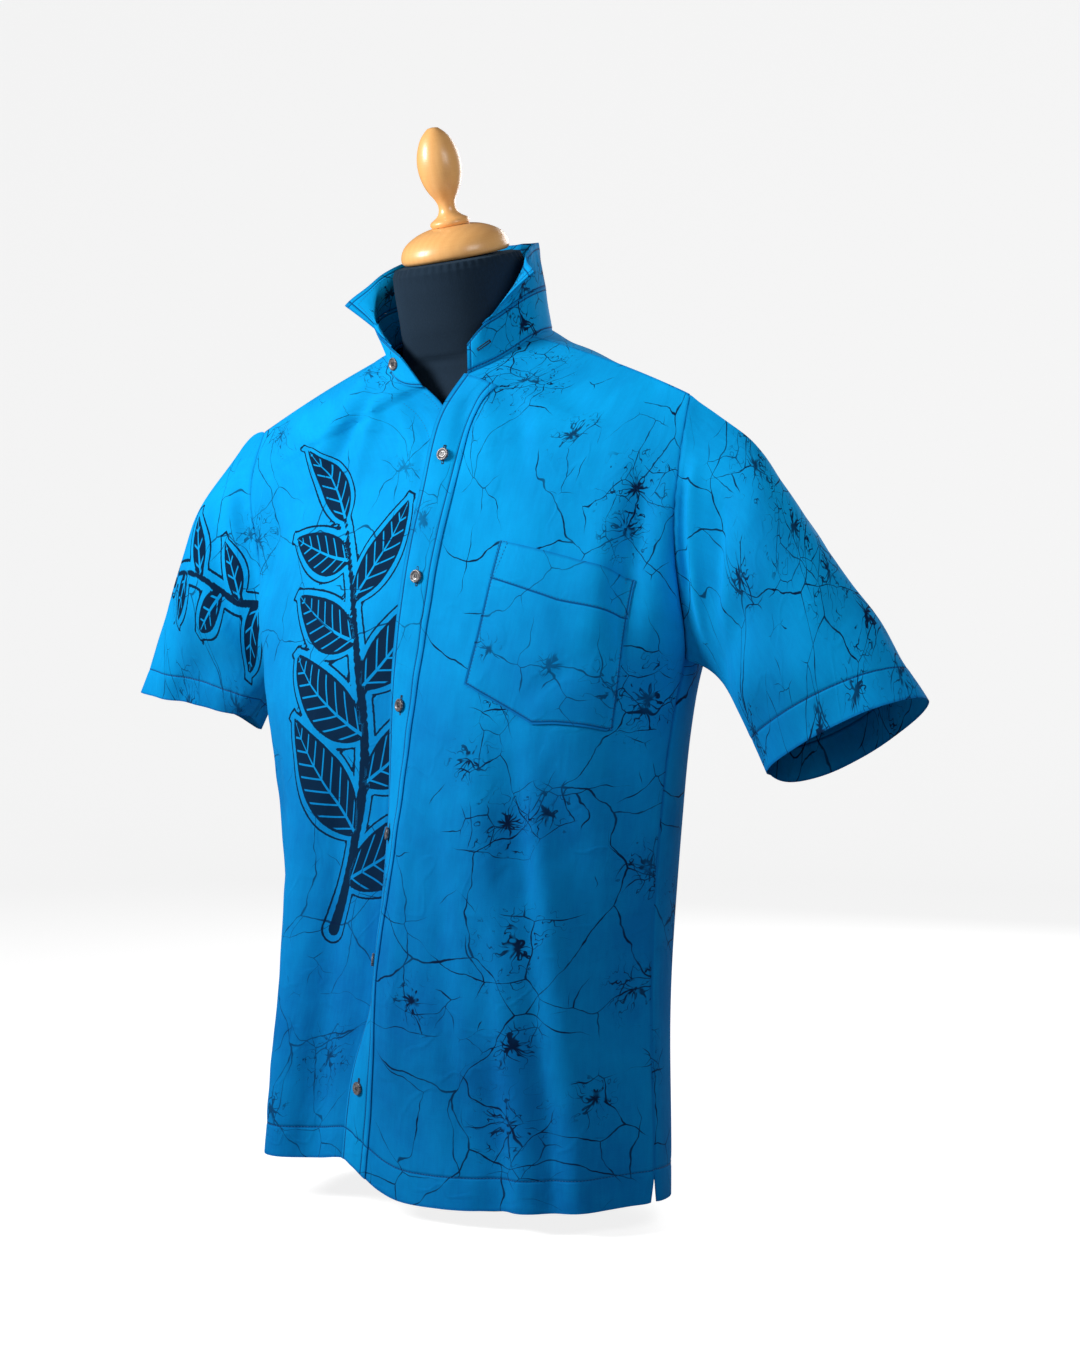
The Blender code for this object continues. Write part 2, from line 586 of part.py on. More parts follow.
def back_panel():
    """The back, two halves joined down the middle below the neck."""
    half = seam_shift("back", panel_grid("back"))
    inward = panel_inward("back", half)
    right = right_half(half)
    right_inward = panel_inward("back", right)
    rows, columns = half.shape[:2]
    points = np.concatenate([sway(half).reshape(-1, 3), sway(right * (-1, 1, 1)).reshape(-1, 3)])
    ways = np.concatenate([inward.reshape(-1, 3), (right_inward * (-1, 1, 1)).reshape(-1, 3)])
    cells = grid_triangles(rows, columns)
    count = rows * columns
    shared = {count + i * columns: i * columns for i in range(NECK_ROW + 1)}
    other = [tuple(count + v for v in reversed(cell)) for cell in cells]
    cells += [tuple(shared.get(v, v) for v in cell) for cell in other]
    add_wall("back", points, points + ways * CLOTH, cells, "cloth")


def placket(left):
    """The closing strip, laid on the left front along its free edge."""
    rows, columns = NECK_ROW + 1, STRIP_COLUMNS + 2
    outward = normals(left)[:rows, :columns]
    inner = left[:rows, :columns] + outward * LAYER_GAP
    outer = inner + outward * CLOTH
    add_wall("placket", outer, inner, grid_triangles(rows, columns), "cloth")
    return outer


def walk(tree, start, way, distance):
    """Where a straight line laid on a surface ends, with the surface's outward direction there."""
    place, normal, _, _ = tree.find_nearest(Vector(start))
    way = Vector(way)
    steps = max(1, int(distance / WALK_STEP))
    for _ in range(steps):
        flat = (way - normal * way.dot(normal)).normalized()
        place, normal, _, _ = tree.find_nearest(place + flat * (distance / steps))
    return place, normal


def pocket(left):
    """The chest pocket, with its pointed foot, laid on the left front."""
    tree = surface_tree(left)
    turn = math.radians(POCKET_TURN)
    across = Vector((math.cos(turn), 0, math.sin(turn)))
    down = Vector((math.sin(turn), 0, -math.cos(turn)))
    n = POCKET_CELLS
    laid = np.zeros((n + 1, n + 1, 3))
    for j in range(n + 1):
        top = walk(tree, POCKET_CORNER, across, j / n * POCKET_WIDTH)[0]
        foot = POCKET_SIDE + (POCKET_POINT - POCKET_SIDE) * (1 - abs(2 * j / n - 1))
        for i in range(n + 1):
            laid[i, j] = walk(tree, top, down, (1 - i / n) * foot)[0]
    outward = normals(laid)
    inner = laid + outward * POCKET_GAP
    add_wall("pocket", inner + outward * CLOTH, inner, grid_triangles(n + 1, n + 1), "cloth")


def turned(profile, sides):
    """Points and faces of a profile turned about +Z. Its first and last points are on the axis."""
    vertices, faces, rings = [], [], []
    for height, radius in profile:
        if radius == 0:
            rings.append([len(vertices)])
            vertices.append((0.0, 0.0, height))
        else:
            rings.append(list(range(len(vertices), len(vertices) + sides)))
            vertices += [(radius * math.cos(2 * math.pi * k / sides),
                          radius * math.sin(2 * math.pi * k / sides), height) for k in range(sides)]
    for low, high in zip(rings, rings[1:]):
        for k in range(sides):
            m = (k + 1) % sides
            if len(low) == 1:
                faces.append((low[0], high[m], high[k]))
            elif len(high) == 1:
                faces.append((low[k], low[m], high[0]))
            else:
                faces.append((low[k], low[m], high[m], high[k]))
    return vertices, faces


def button(name, tree, place, outward):
    """A round button with a raised rim, lying just clear of the surface below it."""
    outward = Vector(outward).normalized()
    turn = outward.to_track_quat("Z", "Y").to_matrix()
    foot = BUTTON_RADIUS * BUTTON_PROFILE[1][1]
    rise = 0.0
    for k in range(BUTTON_SIDES):
        angle = 2 * math.pi * k / BUTTON_SIDES
        over = Vector((foot * math.cos(angle), foot * math.sin(angle), BUTTON_RADIUS))
        hit = tree.ray_cast(Vector(place) + turn @ over, -outward)[0]
        if hit is not None:
            rise = max(rise, (hit - Vector(place)).dot(outward))
    profile = [(height * BUTTON_THICKNESS, radius * BUTTON_RADIUS) for height, radius in BUTTON_PROFILE]
    vertices, faces = turned(profile, BUTTON_SIDES)
    thing = add_object(name, vertices, faces, "button")
    seat = Vector(place) + outward * (rise + SEAM_GAP)
    thing.matrix_world = Matrix.Translation(seat * MM) @ turn.to_4x4()
    return thing


def front_buttons(strip):
    """The buttons down the closing strip."""
    tree = surface_tree(strip)
    edge = strip[:, 0]
    for i, z in enumerate(BUTTON_HEIGHTS):
        start = [float(np.interp(z, edge[:, 2], edge[:, k])) for k in range(3)]
        place, outward = walk(tree, start, (1, 0, 0), BUTTON_DISTANCE)
        button(f"button_{i + 2}", tree, place, outward)


def collar():
    """The collar stand on the neck line and the turned-up leaf on the stand."""
    base = ring(NECK_LINE, count=COLLAR_COLUMNS + 1)
    tall = ring(STAND_LINE, count=COLLAR_COLUMNS)
    bearing = math.radians(STAND_END[0])
    corner = (NECK_CENTRE[0] + STAND_END[1] * math.sin(bearing),
              NECK_CENTRE[1] + STAND_END[1] * math.cos(bearing), STAND_END[2])
    tall = np.vstack([tall, corner])
    rise = unit(tall - base)
    low = base + rise * SEAM_GAP
    stand = np.stack([low + (tall - low) * share for share in np.linspace(0, 1, STAND_ROWS)])
    inward = -normals(stand)
    inward[0] = toward_neck(stand[0])
    cells = grid_triangles(STAND_ROWS, COLLAR_COLUMNS + 1)
    add_wall("collar_stand", stand, stand + inward * COLLAR_WALL, cells, "cloth")

    bare = slice(LEAF_START, COLLAR_COLUMNS)
    start = tall[bare]
    edge = ring(LEAF_LINE, count=len(start))
    low = start + unit(edge - start) * SEAM_GAP
    leaf = np.stack([low + (edge - low) * share for share in np.linspace(0, 1, LEAF_ROWS)])
    leaf_inward = -normals(leaf)
    leaf_inward[0] = inward[-1][bare]
    cells = grid_triangles(LEAF_ROWS, len(start))
    add_wall("collar_leaf", leaf, leaf + leaf_inward * COLLAR_WALL, cells, "cloth_shade")

    tree = surface_tree(stand)
    bearing, height = STAND_BUTTON
    bearings = np.degrees(np.arctan2(stand[1, :, 0] - NECK_CENTRE[0], stand[1, :, 1] - NECK_CENTRE[1]))
    line = base * (1 - height) + tall * height
    start = [float(np.interp(bearing, bearings, line[:, k])) for k in range(3)]
    place, outward, _, _ = tree.find_nearest(Vector(start))
    button("button_1", tree, place, outward)


def sleeve(side):
    """One sleeve, rings from the armhole to the cuff."""
    shares = np.linspace(0, 1, SLEEVE_ROWS + 1) ** ROW_SPACING
    knots = column(SLEEVE, SLEEVE_COLUMNS, "share")
    value = {name: spline(knots, column(SLEEVE, SLEEVE_COLUMNS, name), shares) for name in SLEEVE_COLUMNS}
    crown = np.stack([value["crown_x"], value["crown_y"], value["crown_z"]], -1)
    foot = np.stack([value["foot_x"], value["foot_y"], value["foot_z"]], -1)
    foot += np.array(FOOT_SHIFT[side]) * shares[:, None] ** 1.5
    below = shares / CROWN_LIFT_SHARE
    crown[:, 2] += CROWN_LIFT[side] * below * np.exp(1 - below)
    front_bow = value["front_bow"] * (1 - FLATTER_FRONT[side] * shares)
    centre = (crown + foot) / 2
    forward = unit(SLEEVE_FORWARD)
    half = np.linspace(0, 1, SLEEVE_HALF + 1)
    armhole = np.vstack([np.array([path_point("front_armhole", s) for s in half]),
                         np.array([path_point("back_armhole", s) for s in half[::-1]])[1:-1]])
    angle = np.concatenate([math.pi * (1 - half), -math.pi * half[1:-1]])
    axis = (crown[0] - foot[0]) / 2
    upright = (armhole - centre[0]) @ axis / (axis @ axis)
    sideways = armhole - centre[0] - upright[:, None] * axis
    rings = []
    for i in range(SLEEVE_ROWS + 1):
        reach = np.where(np.sin(angle) >= 0, front_bow[i], value["back_bow"][i])
        eased = min(1.0, shares[i] / ARMHOLE_EASE)
        eased = eased * eased * (3 - 2 * eased)
        height = upright * (1 - eased) + np.cos(angle) * eased
        low = (1 - np.cos(angle)) / 2
        across = np.sign(np.sin(angle)) * np.abs(np.sin(angle)) ** (1 - SQUARER_FOOT[side] * shares[i] * low)
        bow = forward * (reach * across * (1 + FULLER_CROWN * np.cos(angle)))[:, None]
        drop = np.zeros_like(bow)
        drop[:, 2] = BACK_DROP[side] * shares[i] ** 2 * np.minimum(across, 0) * low ** DROP_POWER[side]
        rings.append(centre[i] + (crown[i] - foot[i]) / 2 * height[:, None]
                     + sideways * (1 - eased) + bow * eased + drop)
    grid = np.array(rings)
    grid[0] += unit(grid[1] - grid[0]) * ARMHOLE_GAP
    wrapped = np.concatenate([grid[:, -1:], grid, grid[:, :1]], axis=1)
    outward = normals(wrapped)[:, 1:-1]
    if np.sum(outward[2] * (grid[2] - grid[2].mean(axis=0))) < 0:
        outward = -outward
    inner = grid - outward * CLOTH
    inner[0] = grid[0] + toward_armhole_middle(grid[0]) * CLOTH
    mirror = np.array([side, 1, 1])
    name = "sleeve_left" if side > 0 else "sleeve_right"
    cells = grid_triangles(SLEEVE_ROWS + 1, grid.shape[1], closed=True)
    add_wall(name, grid * mirror, inner * mirror, cells, "cloth")


def form():
    """The limbless dress form: base board, torso with its neck, turned cap and finial."""
    rings = []
    angle = np.linspace(0, 2 * math.pi, FORM_SIDES, endpoint=False)
    for z, half_width, front_y, back_y, lean in FORM:
        cos, sin = np.cos(angle), np.sin(angle)
        x = half_width * np.sign(cos) * np.abs(cos) ** (2 / FORM_POWER)
        middle, deep = (front_y + back_y) / 2, (back_y - front_y) / 2
        y = middle + deep * np.sign(sin) * np.abs(sin) ** (2 / FORM_POWER)
        rings.append(np.stack([x, y, z + (y - middle) * math.tan(math.radians(lean))], -1))
    vertices = np.vstack(rings)
    n = FORM_SIDES
    faces = [tuple(reversed(range(n)))]
    for i in range(len(FORM) - 1):
        for k in range(n):
            m = (k + 1) % n
            faces.append((i * n + k, i * n + m, (i + 1) * n + m, (i + 1) * n + k))
    faces.append(tuple(range((len(FORM) - 1) * n, len(FORM) * n)))
    add_object("form_torso", vertices, faces, "jersey")

    angles = [2 * math.pi * k / BASE_SIDES for k in range(BASE_SIDES)]
    outline = [(BASE_HALF[0] * math.cos(a), BASE_CENTRE_Y + BASE_HALF[1] * math.sin(a)) for a in angles]
    vertices = [(x, y, 0.0) for x, y in outline] + [(x, y, BASE_HEIGHT) for x, y in outline]
    n = BASE_SIDES
    faces = [tuple(reversed(range(n))), tuple(range(n, 2 * n))]
    faces += [(k, (k + 1) % n, n + (k + 1) % n, n + k) for k in range(n)]
    add_object("form_base", vertices, faces, "wood")

    for name, profile in (("form_cap", CAP), ("form_finial", FINIAL)):
        vertices, faces = turned(profile, TURNED_SIDES)
        thing = add_object(name, vertices, faces, "wood")
        tilt = Matrix.Rotation(math.radians(LEAN), 4, "X")
        thing.matrix_world = Matrix.Translation(Vector(CAP_SEAT) * MM) @ tilt


def new_material(name):
    """A plain material of a named colour."""
    material = bpy.data.materials.new(name)
    material.use_nodes = True
    shader = material.node_tree.nodes["Principled BSDF"]
    shader.inputs["Base Color"].default_value = COLOURS[name]
    shader.inputs["Roughness"].default_value = ROUGHNESS[name]
    shader.inputs["Metallic"].default_value = 0.0
    return material


for old in list(bpy.data.objects):
    bpy.data.objects.remove(old, do_unlink=True)

MATERIALS = {name: new_material(name) for name in COLOURS}
PATHS = edge_paths()
left_grid = front_panels()
back_panel()
strip_grid = placket(left_grid)
pocket(left_grid)
front_buttons(strip_grid)
collar()
sleeve(1)
sleeve(-1)
form()
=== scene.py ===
"""Looks for a short-sleeved batik shirt with its collar turned up, on a limbless dress form.

Tables and places are millimetres in the row's frame: +Z is up, the shirt faces -Y and the wearer's
left is +X. They become metres where a mesh is made.
"""

import logging
import math
from dataclasses import dataclass, field
from enum import Enum

import bmesh
import bpy
import numpy as np
from bpy.types import Material, Node, NodeSocket, NodeTree, Object
from mathutils import Matrix, Vector
from mathutils.bvhtree import BVHTree


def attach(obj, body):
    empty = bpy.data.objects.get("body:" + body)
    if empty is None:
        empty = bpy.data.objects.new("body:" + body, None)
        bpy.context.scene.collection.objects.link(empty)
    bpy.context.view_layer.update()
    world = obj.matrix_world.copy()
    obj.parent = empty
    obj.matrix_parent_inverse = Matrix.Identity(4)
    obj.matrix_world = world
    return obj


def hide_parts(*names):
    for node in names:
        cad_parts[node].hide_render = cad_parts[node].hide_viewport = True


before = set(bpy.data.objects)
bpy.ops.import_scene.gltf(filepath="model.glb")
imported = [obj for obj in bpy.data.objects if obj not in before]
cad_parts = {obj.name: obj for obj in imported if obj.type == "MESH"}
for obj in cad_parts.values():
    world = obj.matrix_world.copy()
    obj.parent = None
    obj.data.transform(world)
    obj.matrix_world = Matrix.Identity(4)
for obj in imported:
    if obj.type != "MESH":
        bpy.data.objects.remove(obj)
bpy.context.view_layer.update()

LOG = logging.getLogger("shirt")
MM = 0.001
PUCKER_WIDTH = 7.0
HEM_PRESS, HEM_PRESS_WIDTH = 0.45, 2.2
SEAM_PRESS, SEAM_PRESS_WIDTH = 0.7, 2.5
THREE = tuple[float, float, float]


class Panel(Enum):
    """The cut pieces of the body."""

    LEFT = "left"
    RIGHT = "right"
    BACK = "back"


class Side(Enum):
    """A sleeve's side, as the sign of its X."""

    LEFT = 1
    RIGHT = -1


def unit(vectors: np.ndarray) -> np.ndarray:
    """Gives vectors at length one."""
    vectors = np.asarray(vectors, float)
    return vectors / np.maximum(np.linalg.norm(vectors, axis=-1, keepdims=True), 1e-9)


def spline(knots: np.ndarray, values: np.ndarray, at: np.ndarray) -> np.ndarray:
    """Reads a natural cubic spline.

    Args:
        knots: places of the values, rising.
        values: a number or a point for each knot.
        at: places to read.

    Returns:
        The value at each place.
    """
    knots = np.asarray(knots, float)
    values = np.asarray(values, float)
    at = np.clip(np.asarray(at, float), knots[0], knots[-1])
    step = np.diff(knots)
    system = np.eye(len(knots))
    right = np.zeros_like(values)
    for i in range(1, len(knots) - 1):
        system[i, i - 1:i + 2] = step[i - 1], 2 * (step[i - 1] + step[i]), step[i]
        right[i] = 6 * ((values[i + 1] - values[i]) / step[i] - (values[i] - values[i - 1]) / step[i - 1])
    bend = np.linalg.solve(system, right)
    i = np.clip(np.searchsorted(knots, at, "right") - 1, 0, len(step) - 1)
    after, before, h = at - knots[i], knots[i + 1] - at, step[i]
    if values.ndim == 2:
        after, before, h = after[..., None], before[..., None], h[..., None]
    low = (values[i] / h - bend[i] * h / 6) * before
    high = (values[i + 1] / h - bend[i + 1] * h / 6) * after
    return (bend[i + 1] * after ** 3 + bend[i] * before ** 3) / (6 * h) + low + high


def bell(distance: np.ndarray, width: float) -> np.ndarray:
    """Fades from one to nothing over a width."""
    return np.exp(-(distance / width) ** 2)


def lengths(points: np.ndarray) -> np.ndarray:
    """Measures the distance along a line of points, at each point."""
    return np.concatenate([[0], np.cumsum(np.linalg.norm(np.diff(points, axis=0), axis=1))])


def along(points: np.ndarray, at: np.ndarray) -> np.ndarray:
    """Gives the points of a line at these distances along it."""
    run = lengths(points)
    return np.stack([np.interp(at, run, points[:, k]) for k in range(3)], -1)


def smooth_path(points: tuple, count: int = 240) -> np.ndarray:
    """Gives a smooth line through points, evenly divided."""
    points = np.asarray(points, float)
    run = lengths(points)
    fine = spline(run, points, np.linspace(0, run[-1], 4 * count))
    return along(fine, np.linspace(0, lengths(fine)[-1], count))


def rounded(points: np.ndarray, width: float) -> np.ndarray:
    """Rounds off the corners of a line of evenly spaced points.

    Args:
        points: the line.
        width: how far along the line a corner is spread.

    Returns:
        As many points.
    """
    gap = lengths(points)[-1] / (len(points) - 1)
    reach = max(1, int(round(2.5 * width / gap)))
    weight = np.exp(-0.5 * (np.arange(-reach, reach + 1) * gap / width) ** 2)
    weight /= weight.sum()
    head = 2 * points[0] - points[reach:0:-1]
    tail = 2 * points[-1] - points[-2:-reach - 2:-1]
    longer = np.vstack([head, points, tail])
    return np.stack([np.convolve(longer[:, k], weight, "valid") for k in range(3)], -1)


def grid_normals(grid: np.ndarray, closed: bool = False) -> np.ndarray:
    """Finds the direction across and up a grid's surface, at each point.

    Args:
        grid: rows that run up, columns that run to the wearer's left.
        closed: whether the last column meets the first.

    Returns:
        Unit vectors, outward on the front of the body.
    """
    if closed:
        wrapped = np.concatenate([grid[:, -1:], grid, grid[:, :1]], axis=1)
        return grid_normals(wrapped)[:, 1:-1]
    up = np.gradient(grid, axis=0)
    across = np.gradient(grid, axis=1)
    return unit(np.cross(across, up))


def vented(grid: np.ndarray, up: np.ndarray, to_side: np.ndarray, length: float = 27.0,
           spread: float = 3.2) -> np.ndarray:
    """Opens the short vent at the foot of a side seam.

    Args:
        grid: a panel's points, its last column on the side seam.
        up: distance of each point from the hem.
        to_side: distance of each point from the side seam.
        length: how far up the vent reaches.
        spread: how far the corner moves away from the seam.

    Returns:
        The points with the corner drawn back.
    """
    inward = unit(grid[:, -5:-4] - grid[:, -1:])
    share = np.clip(1 - up / length, 0, 1) ** 1.3 * bell(to_side, 12)
    return grid + inward * (spread * share)[..., None]


def sewn(relief: np.ndarray, up: np.ndarray, to_side: np.ndarray, ease: float, hem: float,
         pucker: np.ndarray) -> np.ndarray:
    """Quietens a panel's relief at its seams and presses in the hem's and the side seams' stitching.

    Args:
        relief: how far each point is raised.
        up: distance of each point from the hem.
        to_side: distance of each point from the side seam.
        ease: width beside a seam that folds leave flat.
        hem: depth of the hem.
        pucker: small waves along the hem.

    Returns:
        The new relief.
    """
    relief = relief * (1 - bell(to_side, ease)) * (1 - bell((up[-1:] - up) + 1, ease))
    relief += pucker * bell(up - hem, PUCKER_WIDTH)
    relief -= HEM_PRESS * bell(up - hem, HEM_PRESS_WIDTH)
    return relief - SEAM_PRESS * bell(to_side, SEAM_PRESS_WIDTH)


def surface_tree(grid: np.ndarray) -> BVHTree:
    """Builds a search tree of a grid's cells."""
    rows, columns = grid.shape[:2]
    cells = grid_cells(rows, columns)
    return BVHTree.FromPolygons([Vector(p) for p in grid.reshape(-1, 3)], cells)


def grid_cells(rows: int, columns: int, closed: bool = False) -> list[tuple[int, ...]]:
    """Lists the four-sided cells of a grid of points."""
    cells = []
    for i in range(rows - 1):
        for j in range(columns if closed else columns - 1):
            k = (j + 1) % columns
            cells.append((i * columns + j, i * columns + k, (i + 1) * columns + k, (i + 1) * columns + j))
    return cells


def walk(tree: BVHTree, start: Vector, way: Vector, distance: float) -> tuple[Vector, Vector]:
    """Follows a straight line laid on a surface.

    Args:
        tree: the surface.
        start: where the line starts, near the surface.
        way: the line's direction.
        distance: its length.

    Returns:
        Its end, and the surface's outward direction there.
    """
    place, normal, _, _ = tree.find_nearest(Vector(start))
    steps = max(1, int(distance / 4.0))
    for _ in range(steps):
        flat = (way - normal * way.dot(normal)).normalized()
        place, normal, _, _ = tree.find_nearest(place + flat * (distance / steps))
    return place, normal


@dataclass(frozen=True)
class Fold:
    """A soft trough or ridge along a line drawn in two of a piece's own measures."""

    places: tuple[tuple[float, float], ...]
    width: float
    height: float
    fade_in: float = 0.25
    fade_out: float = 0.25

    def relief(self, across: np.ndarray, up: np.ndarray) -> np.ndarray:
        """Gives how far the surface is raised.

        Args:
            across: first measure of each point.
            up: second measure of each point.

        Returns:
            Millimetres, negative in a trough.
        """
        line = np.array(self.places, float)
        line = spline(np.arange(len(line)), line, np.linspace(0, len(line) - 1, 9 * len(line)))
        run = lengths(line)
        best = np.full(across.shape, 1e9)
        share = np.zeros(across.shape)
        for i in range(len(line) - 1):
            way = line[i + 1] - line[i]
            size = max(float(way @ way), 1e-9)
            part = np.clip(((across - line[i, 0]) * way[0] + (up - line[i, 1]) * way[1]) / size, 0, 1)
            gap = np.hypot(across - line[i, 0] - part * way[0], up - line[i, 1] - part * way[1])
            closer = gap < best
            best = np.where(closer, gap, best)
            share = np.where(closer, (run[i] + part * (run[i + 1] - run[i])) / run[-1], share)
        strength = np.ones(across.shape)
        if self.fade_in > 0:
            strength *= np.sin(np.clip(share / self.fade_in, 0, 1) * math.pi / 2) ** 2
        if self.fade_out > 0:
            strength *= np.sin(np.clip((1 - share) / self.fade_out, 0, 1) * math.pi / 2) ** 2
        return self.height * strength * bell(best, self.width)


def soft_noise(across: np.ndarray, up: np.ndarray, size: float, seed: int) -> np.ndarray:
    """Sums a few slanted waves into an even, soft, unrepeating relief.

    Args:
        across: first measure of each point.
        up: second measure of each point.
        size: length of the longest wave.
        seed: which relief.

    Returns:
        Values about -1 to 1.
    """
    random = np.random.default_rng(seed)
    total = np.zeros(np.shape(across))
    for _ in range(9):
        angle = random.uniform(0, math.pi)
        wave = size * random.uniform(0.45, 1.0)
        phase = random.uniform(0, 2 * math.pi)
        total += np.sin(2 * math.pi * (across * math.cos(angle) + up * math.sin(angle)) / wave + phase)
    return total / 4.5


@dataclass
class BodyShape:
    """The worn form of the fronts and the back, from a few levels, edges and the neck's rings."""

    stations: tuple = ("z", "edge_x", "edge_y", "turn", "right_y", "half_width", "sway", "side_y", "back_y")
    levels: tuple = (
        (10, -54, -96, 12, -104, 196, 17, 0, 111),
        (60, -50, -94, 14, -103, 195, 17, 1, 112),
        (105, -42, -92, 24, -101, 194, 15, 3, 115),
        (157, -27, -88, 44, -97, 193, 13, 5, 120),
        (205, -20, -86, 50, -94, 194, 10, 8, 126),
        (267, -14, -85, 45, -91, 198, 7, 10, 132),
        (357, -6, -86, 33, -89, 207, 4, 14, 135),
        (420, -4, -87, 18, -89, 218, 2, 15, 133),
        (475, -2, -87, 6, -89, 232, 0, 17, 130),
    )
    hem_z: float = 10.0
    armpit_z: float = 475.0
    roundness: float = 0.62
    corner: float = 0.75
    strip: float = 35.0
    underlap: float = 29.0
    lap_middle: float = 70.0
    lap_gap: float = 1.6
    shoulder_rise: float = 5.0
    rows_below: int = 124
    rows_above: int = 76
    lap_columns: int = 10
    columns: int = 84
    left_edge: tuple = ((-2, -87, 475), (3, -85, 522), (9, -78, 578), (15.5, -66, 635),
                        (23.5, -53, 690), (45, -46, 720.5))
    right_edge: tuple = ((27, -87.5, 475), (32, -82.5, 522), (38, -71, 578),
                         (42, -58.5, 635), (37, -51.5, 668), (22, -48.5, 694), (2, -50, 711.5))
    centre_back: tuple = ((0, 130, 475), (0, 133, 540), (0, 128, 620), (0, 112, 700),
                          (0, 93, 750), (0, 81, 771))
    armpit: THREE = (232, 17, 475)
    shoulder: THREE = (247, 1, 693)
    front_armhole: tuple = ((241, 3, 497), (241, -11, 559), (249, -16, 640))
    back_armhole: tuple = ((239, 38, 497), (239, 56, 559), (247, 40, 640))
    neck_centre: tuple[float, float] = (2.0, 10.0)
    neck_line: tuple = ((-180, 62, 712), (-160, 67, 716), (-134, 69, 740),
                        (-90, 71, 762), (-45, 72, 770), (0, 72, 772), (51, 72, 768),
                        (90, 72, 756), (118, 74, 735), (141, 71, 721))
    hem_middle: dict = field(default_factory=lambda: {Panel.LEFT: 3.0, Panel.RIGHT: 27.0, Panel.BACK: 8.0})
    hem_side: float = 15.0
    right_hem_side: float = 29.0
    hem_closing: float = 30.0
    hem_closing_width: float = 46.0
    paths: dict = field(default_factory=dict)

    def __post_init__(self) -> None:
        """Works out the edges above the armpits once."""
        self.paths = {
            Panel.LEFT: (smooth_path(self.left_edge), self.neck_part(141.0, 90.0)),
            Panel.RIGHT: (smooth_path(self.right_edge), self.neck_part(-180.0, -90.0)),
            Panel.BACK: (smooth_path(self.centre_back), self.neck_part(0.0, 90.0)),
            "front": (smooth_path((self.armpit,) + self.front_armhole + (self.shoulder,)),),
            "rear": (smooth_path((self.armpit,) + self.back_armhole + (self.shoulder,)),),
        }

    def level(self, name: str, z: np.ndarray) -> np.ndarray:
        """Reads one named column of the levels at these heights."""
        column = self.stations.index(name)
        return spline([row[0] for row in self.levels], [row[column] for row in self.levels], z)

    def ring(self, table: tuple, first: float = 0.0, last: float = 1.0, count: int = 240) -> np.ndarray:
        """Gives evenly spaced points of one of the collar's lines.

        Args:
            table: bearing, radius and height of the line's places.
            first: share of its length where the points start.
            last: share of its length where they end.
            count: how many.

        Returns:
            The points.
        """
        bearing, radius, z = np.array(table, float).T
        angle = np.radians(bearing)
        path = smooth_path(np.stack([self.neck_centre[0] + radius * np.sin(angle),
                                     self.neck_centre[1] + radius * np.cos(angle), z], -1), 400)
        return along(path, np.linspace(first, last, count) * lengths(path)[-1])

    def neck_part(self, start: float, end: float) -> np.ndarray:
        """Gives the neck line's points from one bearing to another."""
        points = self.ring(self.neck_line)
        x, y = (points[:, :2] - self.neck_centre).T
        bearing = np.degrees(np.arctan2(x, y))
        first_half = np.arange(len(bearing)) < len(bearing) / 2
        bearing = np.where((bearing > 0) & first_half, bearing - 360, bearing)
        inside = points[(bearing >= min(start, end) - 0.3) & (bearing <= max(start, end) + 0.3)]
        return inside if start < end else inside[::-1]

    def edge_point(self, name: Panel | str, share: float) -> np.ndarray:
        """Gives a point of a panel's edge above the armpit, at a share of its length."""
        lines = self.paths[name]
        line = lines[0]
        if len(lines) == 2 and share > self.corner:
            line = lines[1]
            share = (share - self.corner) / (1 - self.corner)
        elif len(lines) == 2:
            share = share / self.corner
        return along(line, np.array([share * lengths(line)[-1]]))[0]

    def side_curve(self, start: np.ndarray, end: np.ndarray, upward: float, lift: float) -> np.ndarray:
        """Draws a row from the middle of a panel to its side.

        Args:
            start: its first point.
            end: its last point.
            upward: 0 at the armpit and below, 1 at the shoulder.
            lift: how far the row rises above a straight line.

        Returns:
            Points of the row.
        """
        chord = end - start
        bowed = 1 - upward ** 1.5
        leave = self.roundness * np.array([chord[0], 0, chord[2]]) * bowed + chord / 3 * (1 - bowed)
        arrive = self.roundness * np.array([0, chord[1], 0]) * bowed + chord / 3 * (1 - bowed)
        arrive = arrive - np.array([0, 0, lift])
        leave = leave + np.array([0, 0, lift])
        s = np.linspace(0, 1, 160)[:, None]
        return ((1 - s) ** 3 * start + 3 * (1 - s) ** 2 * s * (start + leave)
                + 3 * (1 - s) * s ** 2 * (end - arrive) + s ** 3 * end)

